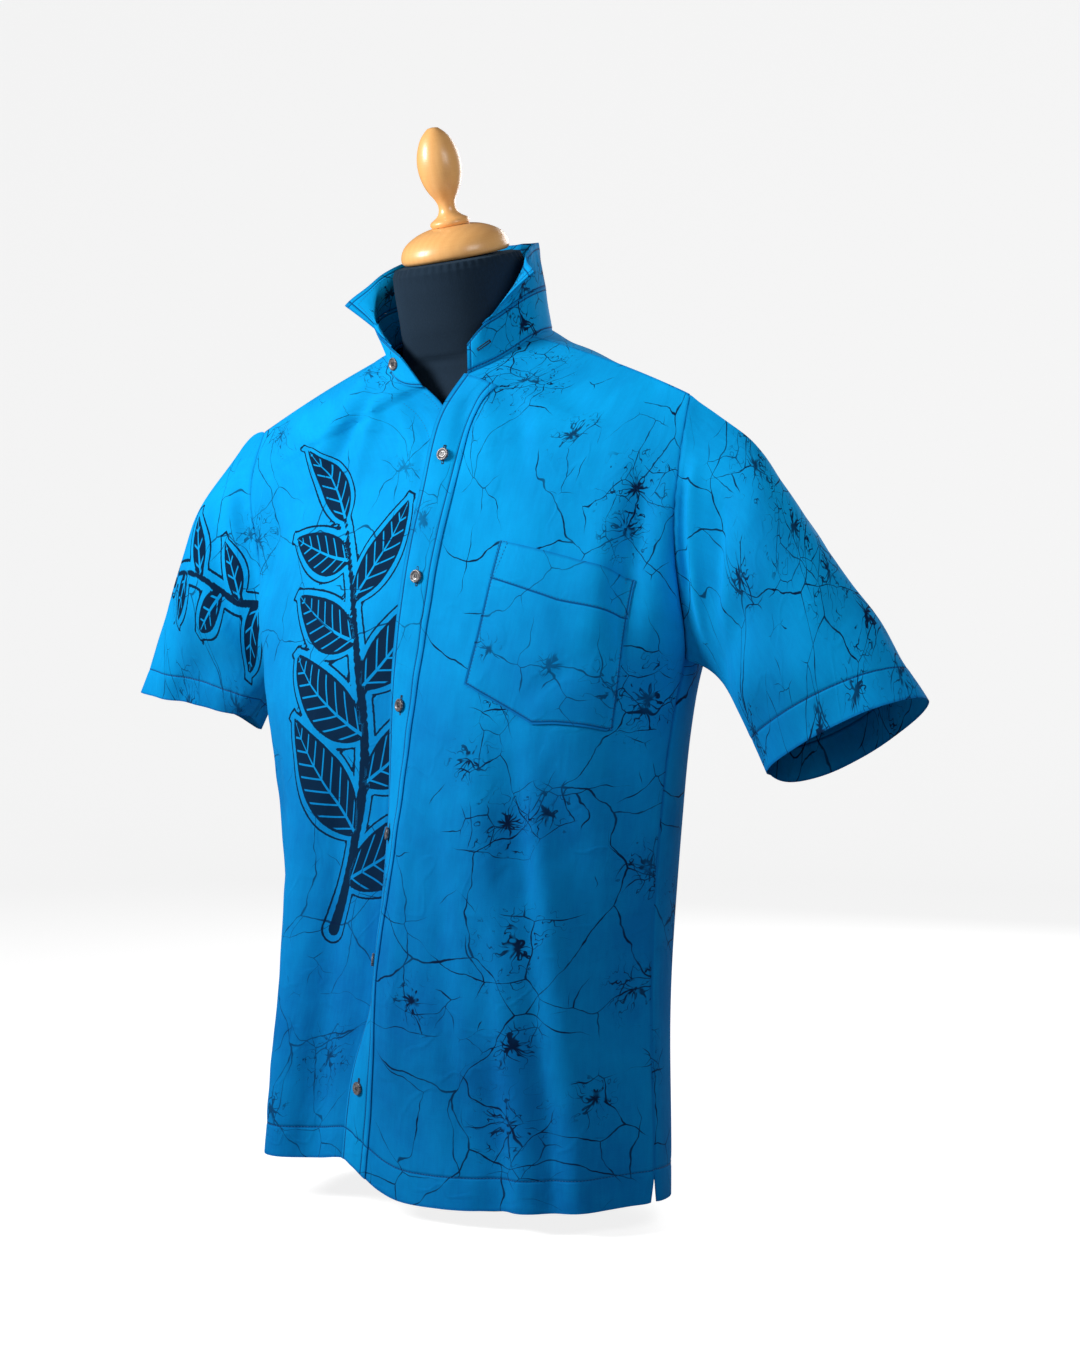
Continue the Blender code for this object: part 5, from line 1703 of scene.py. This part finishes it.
@dataclass
class Sleeve:
    """One short set-in sleeve, from the armhole to its turned-up cuff."""

    shape: BodyShape
    materials: dict[str, Material]
    side: Side
    folds: tuple[Fold, ...]
    foot_shift: THREE
    crown_lift: float
    flatter_front: float
    squarer_foot: float
    back_drop: float
    drop_power: float
    seed: int
    stars: tuple
    stations: tuple = ("share", "crown_x", "crown_y", "crown_z", "foot_x", "foot_y", "foot_z",
                       "front_bow", "back_bow")
    table: tuple = (
        (0.00, 247, 1, 693, 232, 17, 475, 0, 0),
        (0.07, 269, 6, 684, 242, 20, 471, 50, 46),
        (0.14, 290, 10, 669, 251, 23, 466, 53, 47),
        (0.40, 343, 20, 599, 269, 32, 441, 54, 48),
        (0.70, 397, 31, 518, 283, 40, 411, 50, 45),
        (1.00, 446, 37, 444, 292, 46, 384, 44, 42),
    )
    forward: THREE = (0.12, -1.0, 0.1)
    ease: float = 0.35
    fuller_crown: float = 0.22
    lift_share: float = 0.13
    rows: int = 84
    half: int = 62
    hem_depth: float = 29.0

    def plain(self) -> np.ndarray:
        """Lays out the sleeve's rings from the armhole to the cuff, as a left sleeve."""
        shares = np.linspace(0, 1, self.rows + 1) ** 1.1
        columns = np.array(self.table).T
        value = {name: spline(columns[0], columns[k], shares) for k, name in enumerate(self.stations)}
        crown = np.stack([value["crown_x"], value["crown_y"], value["crown_z"]], -1)
        foot = np.stack([value["foot_x"], value["foot_y"], value["foot_z"]], -1)
        foot += np.array(self.foot_shift) * shares[:, None] ** 1.5
        below = shares / self.lift_share
        crown[:, 2] += self.crown_lift * below * np.exp(1 - below)
        front_bow = value["front_bow"] * (1 - self.flatter_front * shares)
        centre = (crown + foot) / 2
        forward = unit(self.forward)
        part = np.linspace(0, 1, self.half + 1)
        armhole = np.vstack([[self.shape.edge_point("front", s) for s in part],
                             [self.shape.edge_point("rear", s) for s in part[::-1]][1:-1]])
        angle = np.concatenate([math.pi * (1 - part), -math.pi * part[1:-1]])
        axis = (crown[0] - foot[0]) / 2
        upright = (armhole - centre[0]) @ axis / (axis @ axis)
        sideways = armhole - centre[0] - upright[:, None] * axis
        rings = []
        for i, share in enumerate(shares):
            reach = np.where(np.sin(angle) >= 0, front_bow[i], value["back_bow"][i])
            eased = min(1.0, share / self.ease)
            eased = eased * eased * (3 - 2 * eased)
            height = upright * (1 - eased) + np.cos(angle) * eased
            low = (1 - np.cos(angle)) / 2
            sine = np.sin(angle)
            across = np.sign(sine) * np.abs(sine) ** (1 - self.squarer_foot * share * low)
            bow = forward * (reach * across * (1 + self.fuller_crown * np.cos(angle)))[:, None]
            drop = np.zeros_like(bow)
            drop[:, 2] = self.back_drop * share ** 2 * np.minimum(across, 0) * low ** self.drop_power
            rings.append(centre[i] + (crown[i] - foot[i]) / 2 * height[:, None]
                         + sideways * (1 - eased) + bow * eased + drop)
        return np.array(rings)

    def build(self) -> None:
        """Makes the sleeve and its stitches."""
        grid = self.plain()
        columns = grid.shape[1]
        outward = grid_normals(grid, True)
        sign = 1.0 if np.sum(outward[20] * (grid[20] - grid[20].mean(axis=0))) > 0 else -1.0
        outward = outward * sign
        places = Shell("", grid, closed=True).cloth_places()
        round_cuff, run = np.moveaxis(places, -1, 0)
        around = round_cuff[:, self.half][:, None] - round_cuff
        relief = sum(fold.relief(around, run) for fold in self.folds)
        relief = relief + 1.2 * soft_noise(around, run * 0.8, 95, self.seed)
        relief *= 1 - bell(run + 0.5, 8)
        from_cuff = run[-1:] - run
        pucker = 0.4 * soft_noise(around, run * 0.3, 14, self.seed + 1)
        relief += pucker * (bell(from_cuff - self.hem_depth, 7) + bell(run, 7))
        relief -= 0.45 * bell(from_cuff - self.hem_depth, 2)
        relief -= 0.8 * bell(run, 2)
        grid = (grid + outward * relief[..., None]) * (self.side.value, 1, 1)
        flipped = (sign < 0) != (self.side is Side.RIGHT)
        name = "left_sleeve" if self.side is Side.LEFT else "right_sleeve"
        shell = Shell(name, grid, closed=True, flipped=flipped)
        shell.measures = {"cloth": places, "edge": np.minimum(run, from_cuff) * MM,
                          "burst": crackle_stars(around, run, self.stars),
                          "seam": seam_lines(from_cuff - self.hem_depth)}
        material = self.materials["cloth"]
        if self.side is Side.RIGHT:
            spray = Spray(((40, -14), (66, 36), (112, 78), (150, 130)), 5, 62, 27, 7)
            shell.measures.update(spray.measures(round_cuff, run))
            material = self.materials["printed"]
        node = "sleeve_left" if self.side is Side.LEFT else "sleeve_right"
        declare(shell, material, node, "hung", "left_front" if self.side is Side.LEFT else "right_front")
        stitches = Stitching(f"{name}_stitches")
        normal = grid_normals(grid, True) * (-1 if flipped else 1)
        ring = [*range(columns), 0]
        stitches.at_measure(grid[:, ring], normal[:, ring], -from_cuff[:, ring], -self.hem_depth)
        stitches.build(self.materials["thread"])


@dataclass
class Fasteners:
    """The four-hole buttons, their thread and the buttonholes."""

    fronts: Fronts
    collar: Collar
    materials: dict[str, Material]
    radius: float = 5.75
    thickness: float = 2.3
    hole_radius: float = 0.75
    hole_spread: float = 1.45
    sides: int = 40
    stitch_pitch: float = 0.42
    stitch_reach: float = 1.3
    bar_reach: float = 1.7

    def pattern(self) -> bpy.types.Mesh:
        """Turns one button and drills its four holes."""
        r, t = self.radius, self.thickness
        profile = [(0.0, 0.0), (0.0, r * 0.70)]
        profile += [(t * 0.5 - t * 0.5 * math.cos(a), r * 0.88 + r * 0.12 * math.sin(a))
                    for a in np.linspace(0.35, math.pi - 0.35, 9)]
        profile += [(t, r * 0.80), (t * 0.90, r * 0.70), (t * 0.76, r * 0.60), (t * 0.72, r * 0.48),
                    (t * 0.72, 0.0)]
        vertices, faces = turned(profile, self.sides)
        body = new_plain("button_blank", vertices, faces)
        cutters = bmesh.new()
        for a in range(4):
            angle = math.pi / 4 + a * math.pi / 2
            place = Vector((math.cos(angle), math.sin(angle), 0.0)) * self.hole_spread * MM
            place.z = t * MM / 2
            bmesh.ops.create_cone(cutters, cap_ends=True, segments=16, radius1=self.hole_radius * MM,
                                  radius2=self.hole_radius * MM, depth=t * MM * 3,
                                  matrix=Matrix.Translation(place))
        mesh = bpy.data.meshes.new("button_drill")
        cutters.to_mesh(mesh)
        cutters.free()
        drill = placed("button_drill", mesh)
        cut = body.modifiers.new("holes", "BOOLEAN")
        cut.object = drill
        cut.operation = "DIFFERENCE"
        bpy.context.view_layer.update()
        done = bpy.data.meshes.new_from_object(body.evaluated_get(bpy.context.evaluated_depsgraph_get()))
        done.materials.clear()
        done.materials.append(self.materials["button"])
        done.shade_smooth()
        done.set_sharp_from_angle(angle=math.radians(40))
        for old in (body, drill):
            bpy.data.objects.remove(old, do_unlink=True)
        return done

    def build(self) -> None:
        """Puts each button where its solid is, with thread through its holes and its buttonhole."""
        pattern = self.pattern()
        strip = surface_tree(self.fronts.strip)
        stand = surface_tree(self.collar.stand)
        thread = Stitching("button_threads", width=0.5)
        holes = Stitching("buttonholes", width=0.5)
        for k in range(1, 8):
            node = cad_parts[f"button_{k}"]
            points = np.array([v.co for v in node.data.vertices]) / MM
            centre = points.mean(axis=0)
            outward = np.linalg.svd(points - centre)[2][2]
            outward *= np.sign(outward @ (centre * (1, 1, 0) - (0, 10.0, 0)))
            tree = stand if k == 1 else strip
            place = np.array(tree.find_nearest(Vector(centre))[0])
            seat = place + outward * 0.75
            up = unit(np.array([0, 0, 1.0]) - outward * outward[2])
            across = np.cross(up, outward)
            spin = Matrix((across, up, outward)).transposed()
            button = placed(f"button_{k}_four_hole", pattern.copy())
            button.data.transform(Matrix.Translation(Vector(seat) * MM) @ spin.to_4x4())
            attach(button, "root")
            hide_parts(f"button_{k}")
            top = seat + outward * self.thickness * 0.74
            for aside in (-1, 1):
                middle = top + across * aside * self.hole_spread * 0.72
                reach = up * self.hole_spread * 1.05
                for shift in (-0.25, 0.25):
                    at = middle + across * shift
                    thread.bead(at - reach, at + reach, outward, 0.5)
            if k > 1:
                self.buttonhole(holes, place, up, across, outward)
        self.collar_buttonhole(holes)
        for stitching in (thread, holes):
            stitching.build(self.materials["dark_thread"])

    def buttonhole(self, stitches: Stitching, place: np.ndarray, up: np.ndarray, across: np.ndarray,
                   outward: np.ndarray, half: float = 8.2) -> None:
        """Adds the satin stitches round one buttonhole.

        Args:
            stitches: where they go.
            place: middle of the hole, on the cloth.
            up: along the hole.
            across: over the hole.
            outward: away from the cloth.
            half: half of the hole's length.
        """
        for at in np.arange(-half, half, self.stitch_pitch):
            for side in (-1, 1):
                inner = place + up * at + across * side * 0.25 + outward * 0.12
                stitches.bead(inner, inner + across * side * self.stitch_reach, outward, 0.45)
        for end in (-1, 1):
            bar = place + up * end * half + outward * 0.15
            reach = across * self.bar_reach
            for shift in (0.0, 0.4):
                stitches.bead(bar - reach + up * shift, bar + reach + up * shift, outward, 0.55)

    def collar_buttonhole(self, stitches: Stitching) -> None:
        """Adds the open buttonhole at the left end of the stand."""
        stand = self.collar.stand
        row, column = stand.shape[0] * 50 // 100, stand.shape[1] - 8
        place = stand[row, column]
        along_stand = unit(stand[row, column + 4] - stand[row, column - 4])
        outward = grid_normals(stand)[row, column]
        if outward @ (place * (1, 1, 0)) < 0:
            place, outward = place - outward * self.collar.wall, -outward
        self.buttonhole(stitches, place, along_stand, np.cross(outward, along_stand), outward, 6.5)


def turned(profile: list[tuple[float, float]], sides: int) -> tuple[np.ndarray, list]:
    """Turns a profile about +Z.

    Args:
        profile: height and radius of each ring, the first and last on the axis.
        sides: points round each ring.

    Returns:
        Vertices in millimetres and faces.
    """
    vertices: list[tuple[float, float, float]] = []
    faces: list[tuple[int, ...]] = []
    rings = []
    for height, radius in profile:
        if radius == 0:
            rings.append([len(vertices)])
            vertices.append((0.0, 0.0, height))
            continue
        rings.append(list(range(len(vertices), len(vertices) + sides)))
        for k in range(sides):
            angle = 2 * math.pi * k / sides
            vertices.append((radius * math.cos(angle), radius * math.sin(angle), height))
    for low, high in zip(rings, rings[1:]):
        for k in range(sides):
            m = (k + 1) % sides
            if len(low) == 1:
                faces.append((low[0], high[m], high[k]))
            elif len(high) == 1:
                faces.append((low[k], low[m], high[0]))
            else:
                faces.append((low[k], low[m], high[m], high[k]))
    return np.array(vertices), faces


def new_plain(name: str, vertices: np.ndarray, faces: list) -> Object:
    """Makes an object from vertices in millimetres, without a finish."""
    mesh = bpy.data.meshes.new(name)
    mesh.from_pydata([tuple(v) for v in vertices * MM], [], faces)
    return placed(name, mesh)


@dataclass
class DressForm:
    """The limbless form: jersey torso with its gathered neck, turned cap and finial, base board."""

    materials: dict[str, Material]
    rings: tuple = (
        (18.3, 64, -32, 48, 0),
        (34, 70, -36, 52, 0),
        (48, 112, -54, 70, 0),
        (62, 152, -68, 84, 0),
        (110, 164, -72, 92, 0),
        (200, 156, -68, 90, 0),
        (270, 144, -64, 84, 0),
        (360, 158, -70, 102, 0),
        (450, 174, -78, 114, 0),
        (540, 178, -60, 108, 0),
        (620, 180, -45, 96, 0),
        (675, 178, -36, 78, 0),
        (705, 162, -36, 68, 0),
        (725, 126, -34, 66, 2),
        (741, 82.5, -35, 66, 5),
        (748, 63, -38, 68, 8),
        (772, 58, -46, 66, 12),
        (820.5, 56.5, -60, 53, 15),
        (828, 53, -58, 48, 15),
        (829.5, 46, -52, 41, 15),
    )
    power: float = 2.2
    sides: int = 176
    gathers: int = 47
    rim_z: float = 829.5
    neck_seam_z: float = 739.0
    lean: float = 16.5
    cap_seat: THREE = (-1.0, -6.5, 836.6)
    cap: tuple = ((-5.5, 45.5), (-3.5, 47.8), (0.5, 48.4), (5.5, 47), (10.5, 43.6), (15, 37.8), (18.8, 30),
                  (21.2, 22), (22, 17.6))
    finial: tuple = ((22.3, 16.4), (24.2, 17.6), (26.6, 17.2), (28.6, 14.6), (31.5, 10.4), (36, 7.9),
                     (40.5, 7.6), (45, 9), (52, 13.2), (61, 17.2), (72, 19.2), (84, 18.4),
                     (94, 15.2), (102, 10.4), (106.5, 5.6))

    def torso(self) -> None:
        """Makes the torso's jersey, with small gathers below the cap and a seam round the neck."""
        table = np.array(self.rings)
        index = np.linspace(0, len(table) - 1, 6 * (len(table) - 1) + 1)
        fine = np.stack([np.interp(index, np.arange(len(table)), table[:, k]) for k in range(5)], -1)
        kernel = np.array([1, 3, 4, 3, 1]) / 12
        for k in range(1, 5):
            padded = np.concatenate([[fine[0, k]] * 2, fine[:, k], [fine[-1, k]] * 2])
            fine[:, k] = np.convolve(padded, kernel, "valid")
        angle = np.linspace(0, 2 * math.pi, self.sides, endpoint=False)
        cos, sin = np.cos(angle), np.sin(angle)
        random = np.random.default_rng(91)
        phase = random.uniform(-0.8, 0.8, self.gathers)
        drift = np.interp(angle, np.linspace(0, 2 * math.pi, self.gathers), phase)
        ripple = np.sin(self.gathers * angle + drift)
        vertices = []
        for z, half_width, front_y, back_y, lean in fine:
            top, seam = bell(self.rim_z - z, 7.0), bell(z - self.neck_seam_z, 1.6)
            swell = 1.0 + (0.016 * ripple * top if z < self.rim_z - 0.5 else 0.0) - 0.012 * seam
            x = half_width * np.sign(cos) * np.abs(cos) ** (2 / self.power) * swell
            middle, deep = (front_y + back_y) / 2, (back_y - front_y) / 2
            y = middle + deep * np.sign(sin) * np.abs(sin) ** (2 / self.power) * swell
            vertices += list(np.stack([x, y, z + (y - middle) * math.tan(math.radians(lean))], -1))
        n, count = self.sides, len(fine)
        faces = [tuple(reversed(range(n))), tuple(range((count - 1) * n, count * n))]
        faces += grid_cells(count, n, True)
        thing = new_object("form_jersey", np.array(vertices) * MM, faces, self.materials["jersey"])
        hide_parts("form_torso")

    def turnings(self) -> None:
        """Makes the cap and the finial on finely divided profiles."""
        tilt = Matrix.Rotation(math.radians(self.lean), 4, "X")
        place = Matrix.Translation(Vector(self.cap_seat) * MM) @ tilt
        for name, node, profile in (("turned_cap", "form_cap", self.cap),
                                    ("turned_finial", "form_finial", self.finial)):
            points = np.array(profile)
            run = np.concatenate([[0], np.cumsum(np.hypot(*np.diff(points, axis=0).T))])
            fine = spline(run, points, np.linspace(0, run[-1], 64))
            rings = [(fine[0, 0], 0.0)] + [tuple(row) for row in fine]
            top = fine[-1]
            if name == "turned_finial":
                rings += [(top[0] + 1.4 * math.sin(a), top[1] * math.cos(a)) for a in (0.5, 1.0)]
                rings.append((top[0] + 1.5, 0.0))
            else:
                rings.append((top[0], 0.0))
            vertices, faces = turned(rings, 112)
            thing = new_object(name, vertices * MM, faces, self.materials["wood"], 35.0)
            thing.data.transform(place)
            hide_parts(node)

    def base(self) -> None:
        """Gives the base board its wood."""
        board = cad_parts["form_base"]
        board.data.materials.clear()
        board.data.materials.append(self.materials["wood"])

    def build(self) -> None:
        """Makes the whole form."""
        self.torso()
        self.turnings()
        self.base()


@dataclass
class Studio:
    """The camera, the pale floor and the soft lights."""

    azimuth: float = 39.0
    distance: float = 2130.0
    aside: float = -70.0
    height: float = 462.0
    focal: float = 2407.0
    picture_height: float = 1350.0
    sensor: float = 36.0
    floor_radius: float = 3300.0
    wall_radius: float = 4300.0
    wall_height: float = 3600.0

    def camera(self) -> None:
        """Puts the camera level with the middle of the shirt."""
        a = math.radians(self.azimuth)
        right = Vector((math.cos(a), math.sin(a), 0.0))
        look = Vector((-math.sin(a), math.cos(a), 0.0))
        place = right * -self.aside - look * self.distance
        place.z = self.height
        data = bpy.data.cameras.new("camera")
        data.sensor_fit = "VERTICAL"
        data.sensor_height = self.sensor
        data.lens = self.focal * self.sensor / self.picture_height
        data.clip_start = 0.05
        thing = placed("camera", data)
        thing.location = place * MM
        thing.rotation_euler = (math.pi / 2, 0.0, a)
        bpy.context.scene.camera = thing

    def floor(self) -> None:
        """Makes a round floor that curves up into a pale wall."""
        bend = self.wall_radius - self.floor_radius
        profile = [(0.0, 0.0), (0.0, self.floor_radius * 0.5), (0.0, self.floor_radius)]
        profile += [(bend * (1 - math.cos(t)), self.floor_radius + bend * math.sin(t))
                    for t in np.linspace(0.08, math.pi / 2, 22)]
        profile += [(self.wall_height, self.wall_radius)]
        vertices, faces = turned(profile, 128)
        thing = new_plain("studio_floor", vertices, [tuple(reversed(face)) for face in faces])
        thing.data.materials.append(PaleFloor("studio_paper").build())
        thing.data.shade_smooth()

    def light(self, name: str, place: THREE, size: float, power: float,
              aim: THREE = (0.0, 0.0, 450.0)) -> None:
        """Adds a square soft light.

        Args:
            name: its name.
            place: where it stands.
            size: length of its sides.
            power: watts.
            aim: what it faces.
        """
        data = bpy.data.lights.new(name, "AREA")
        data.size = size * MM
        data.energy = power
        thing = placed(name, data)
        thing.location = Vector(place) * MM
        thing.rotation_euler = (Vector(aim) - Vector(place)).to_track_quat("-Z", "Y").to_euler()

    def build(self) -> None:
        """Makes the whole studio."""
        self.camera()
        self.floor()
        self.light("key", (-820, -1250, 1200), 560, 33, (0, 0, 560))
        self.light("side", (1250, -350, 1150), 600, 6.5, (250, 0, 560))
        self.light("fill", (900, -2200, 900), 1500, 2)
        self.light("rear", (-300, 2000, 1300), 1300, 24)
        world = bpy.data.worlds.new("studio_air")
        world.use_nodes = True
        world.node_tree.nodes["Background"].inputs["Color"].default_value = (1.0, 1.0, 1.0, 1.0)
        world.node_tree.nodes["Background"].inputs["Strength"].default_value = 0.085
        bpy.context.scene.world = world
        bpy.context.scene.view_settings.view_transform = "Standard"
        bpy.context.scene.view_settings.look = "None"


def main() -> None:
    """Builds the shirt, the form and the studio in order."""
    logging.basicConfig(level=logging.INFO, format="%(name)s %(message)s")
    groups = {"crackle": crackle_group(), "leaf": leaf_group(), "weave": weave_group(),
              "wrinkle": wrinkle_group()}
    materials = {
        "cloth": BatikFinish("batik_crackle").build(groups),
        "plain": BatikFinish("batik_quiet", crackle=0.75).build(groups),
        "strip": BatikFinish("batik_strip", crackle=0.6, painted_lower_shade=0.35).build(groups),
        "printed": BatikFinish("batik_leaves", leaves=True, crackle=0.8).build(groups),
        "thread": ThreadFinish("blue_thread", (0.004, 0.12, 0.33)).build(),
        "dark_thread": ThreadFinish("dark_thread", (0.006, 0.022, 0.05)).build(),
        "wood": WoodFinish("turned_beech").build(),
        "jersey": JerseyFinish("black_jersey").build(),
        "button": ButtonFinish("cast_button").build(),
    }
    shape = BodyShape()
    fronts = Fronts(shape, materials)
    fronts.build_left()
    fronts.build_right()
    fronts.build_strip()
    fronts.build_pocket()
    Back(shape, materials).build()
    collar = Collar(shape, materials)
    collar.build()
    left_folds = (
        Fold(((30, 17), (90, 22), (150, 26), (205, 18)), 8, 6.5, 0.2, 0.4),
        Fold(((40, 4), (100, 6), (170, 8)), 7, -5, 0.3, 0.3),
        Fold(((46, 44), (110, 52), (170, 46)), 13, -7, 0.3, 0.4),
        Fold(((214, 34), (160, 70), (100, 120), (60, 190)), 16, -6.5, 0.2, 0.5),
        Fold(((200, 80), (140, 130), (90, 190), (60, 250)), 17, 4.5, 0.3, 0.3),
        Fold(((-20, 60), (-14, 150), (-24, 230)), 15, -3.4, 0.3, 0.3),
        Fold(((-210, 40), (-150, 90), (-90, 160)), 15, -5, 0.2, 0.4),
        Fold(((-60, 20), (-120, 26), (-180, 20)), 9, -3, 0.3, 0.3),
        Fold(((-190, 110), (-120, 170), (-90, 240)), 16, 3, 0.3, 0.2),
    )
    right_folds = (
        Fold(((24, 22), (80, 28), (140, 26)), 10, 3.6, 0.3, 0.4),
        Fold(((40, 46), (100, 54), (160, 50)), 12, -3.4, 0.3, 0.4),
        Fold(((205, 30), (150, 90), (112, 170), (100, 250)), 16, -4.6, 0.2, 0.3),
        Fold(((160, 40), (110, 90), (70, 160)), 14, 3, 0.3, 0.4),
        Fold(((-24, 40), (-30, 140), (-20, 240)), 16, -3.6, 0.3, 0.2),
        Fold(((-200, 34), (-150, 80), (-100, 170)), 15, -4.6, 0.2, 0.4),
        Fold(((-60, 24), (-130, 22), (-190, 18)), 9, -2.6, 0.3, 0.3),
    )
    left_stars = (
        (20, 78, 30, 0.9), (24, 137, 36, 1), (20, 185, 34, 1), (12, 234, 34, 1),
        (14, 290, 30, 1), (104, 222, 16, 0.7), (92, 96, 26, 0.6), (60, 250, 24, 0.6),
        (-40, 120, 32, 0.9), (-70, 230, 34, 0.9), (-130, 150, 30, 0.8),
        (180, 120, 28, 0.8), (-190, 60, 28, 0.8),
    )
    right_stars = (
        (40, 150, 28, 0.8), (-20, 90, 34, 0.9), (-60, 210, 34, 1), (120, 190, 26, 0.7),
        (-130, 110, 30, 0.8), (180, 100, 26, 0.7), (20, 240, 24, 0.8), (-180, 190, 28, 0.8),
        (85, 8, 22, 0.7),
    )
    Sleeve(shape, materials, Side.LEFT, left_folds, (11, -12, -3), -8, 0, 0, 20, 0.8, 101,
           left_stars).build()
    Sleeve(shape, materials, Side.RIGHT, right_folds, (20, -3, 38), 9, 0.25, 0.45, 22, 2, 131,
           right_stars).build()
    Fasteners(fronts, collar, materials).build()
    DressForm(materials).build()
    Studio().build()


if __name__ == "__main__":
    main()
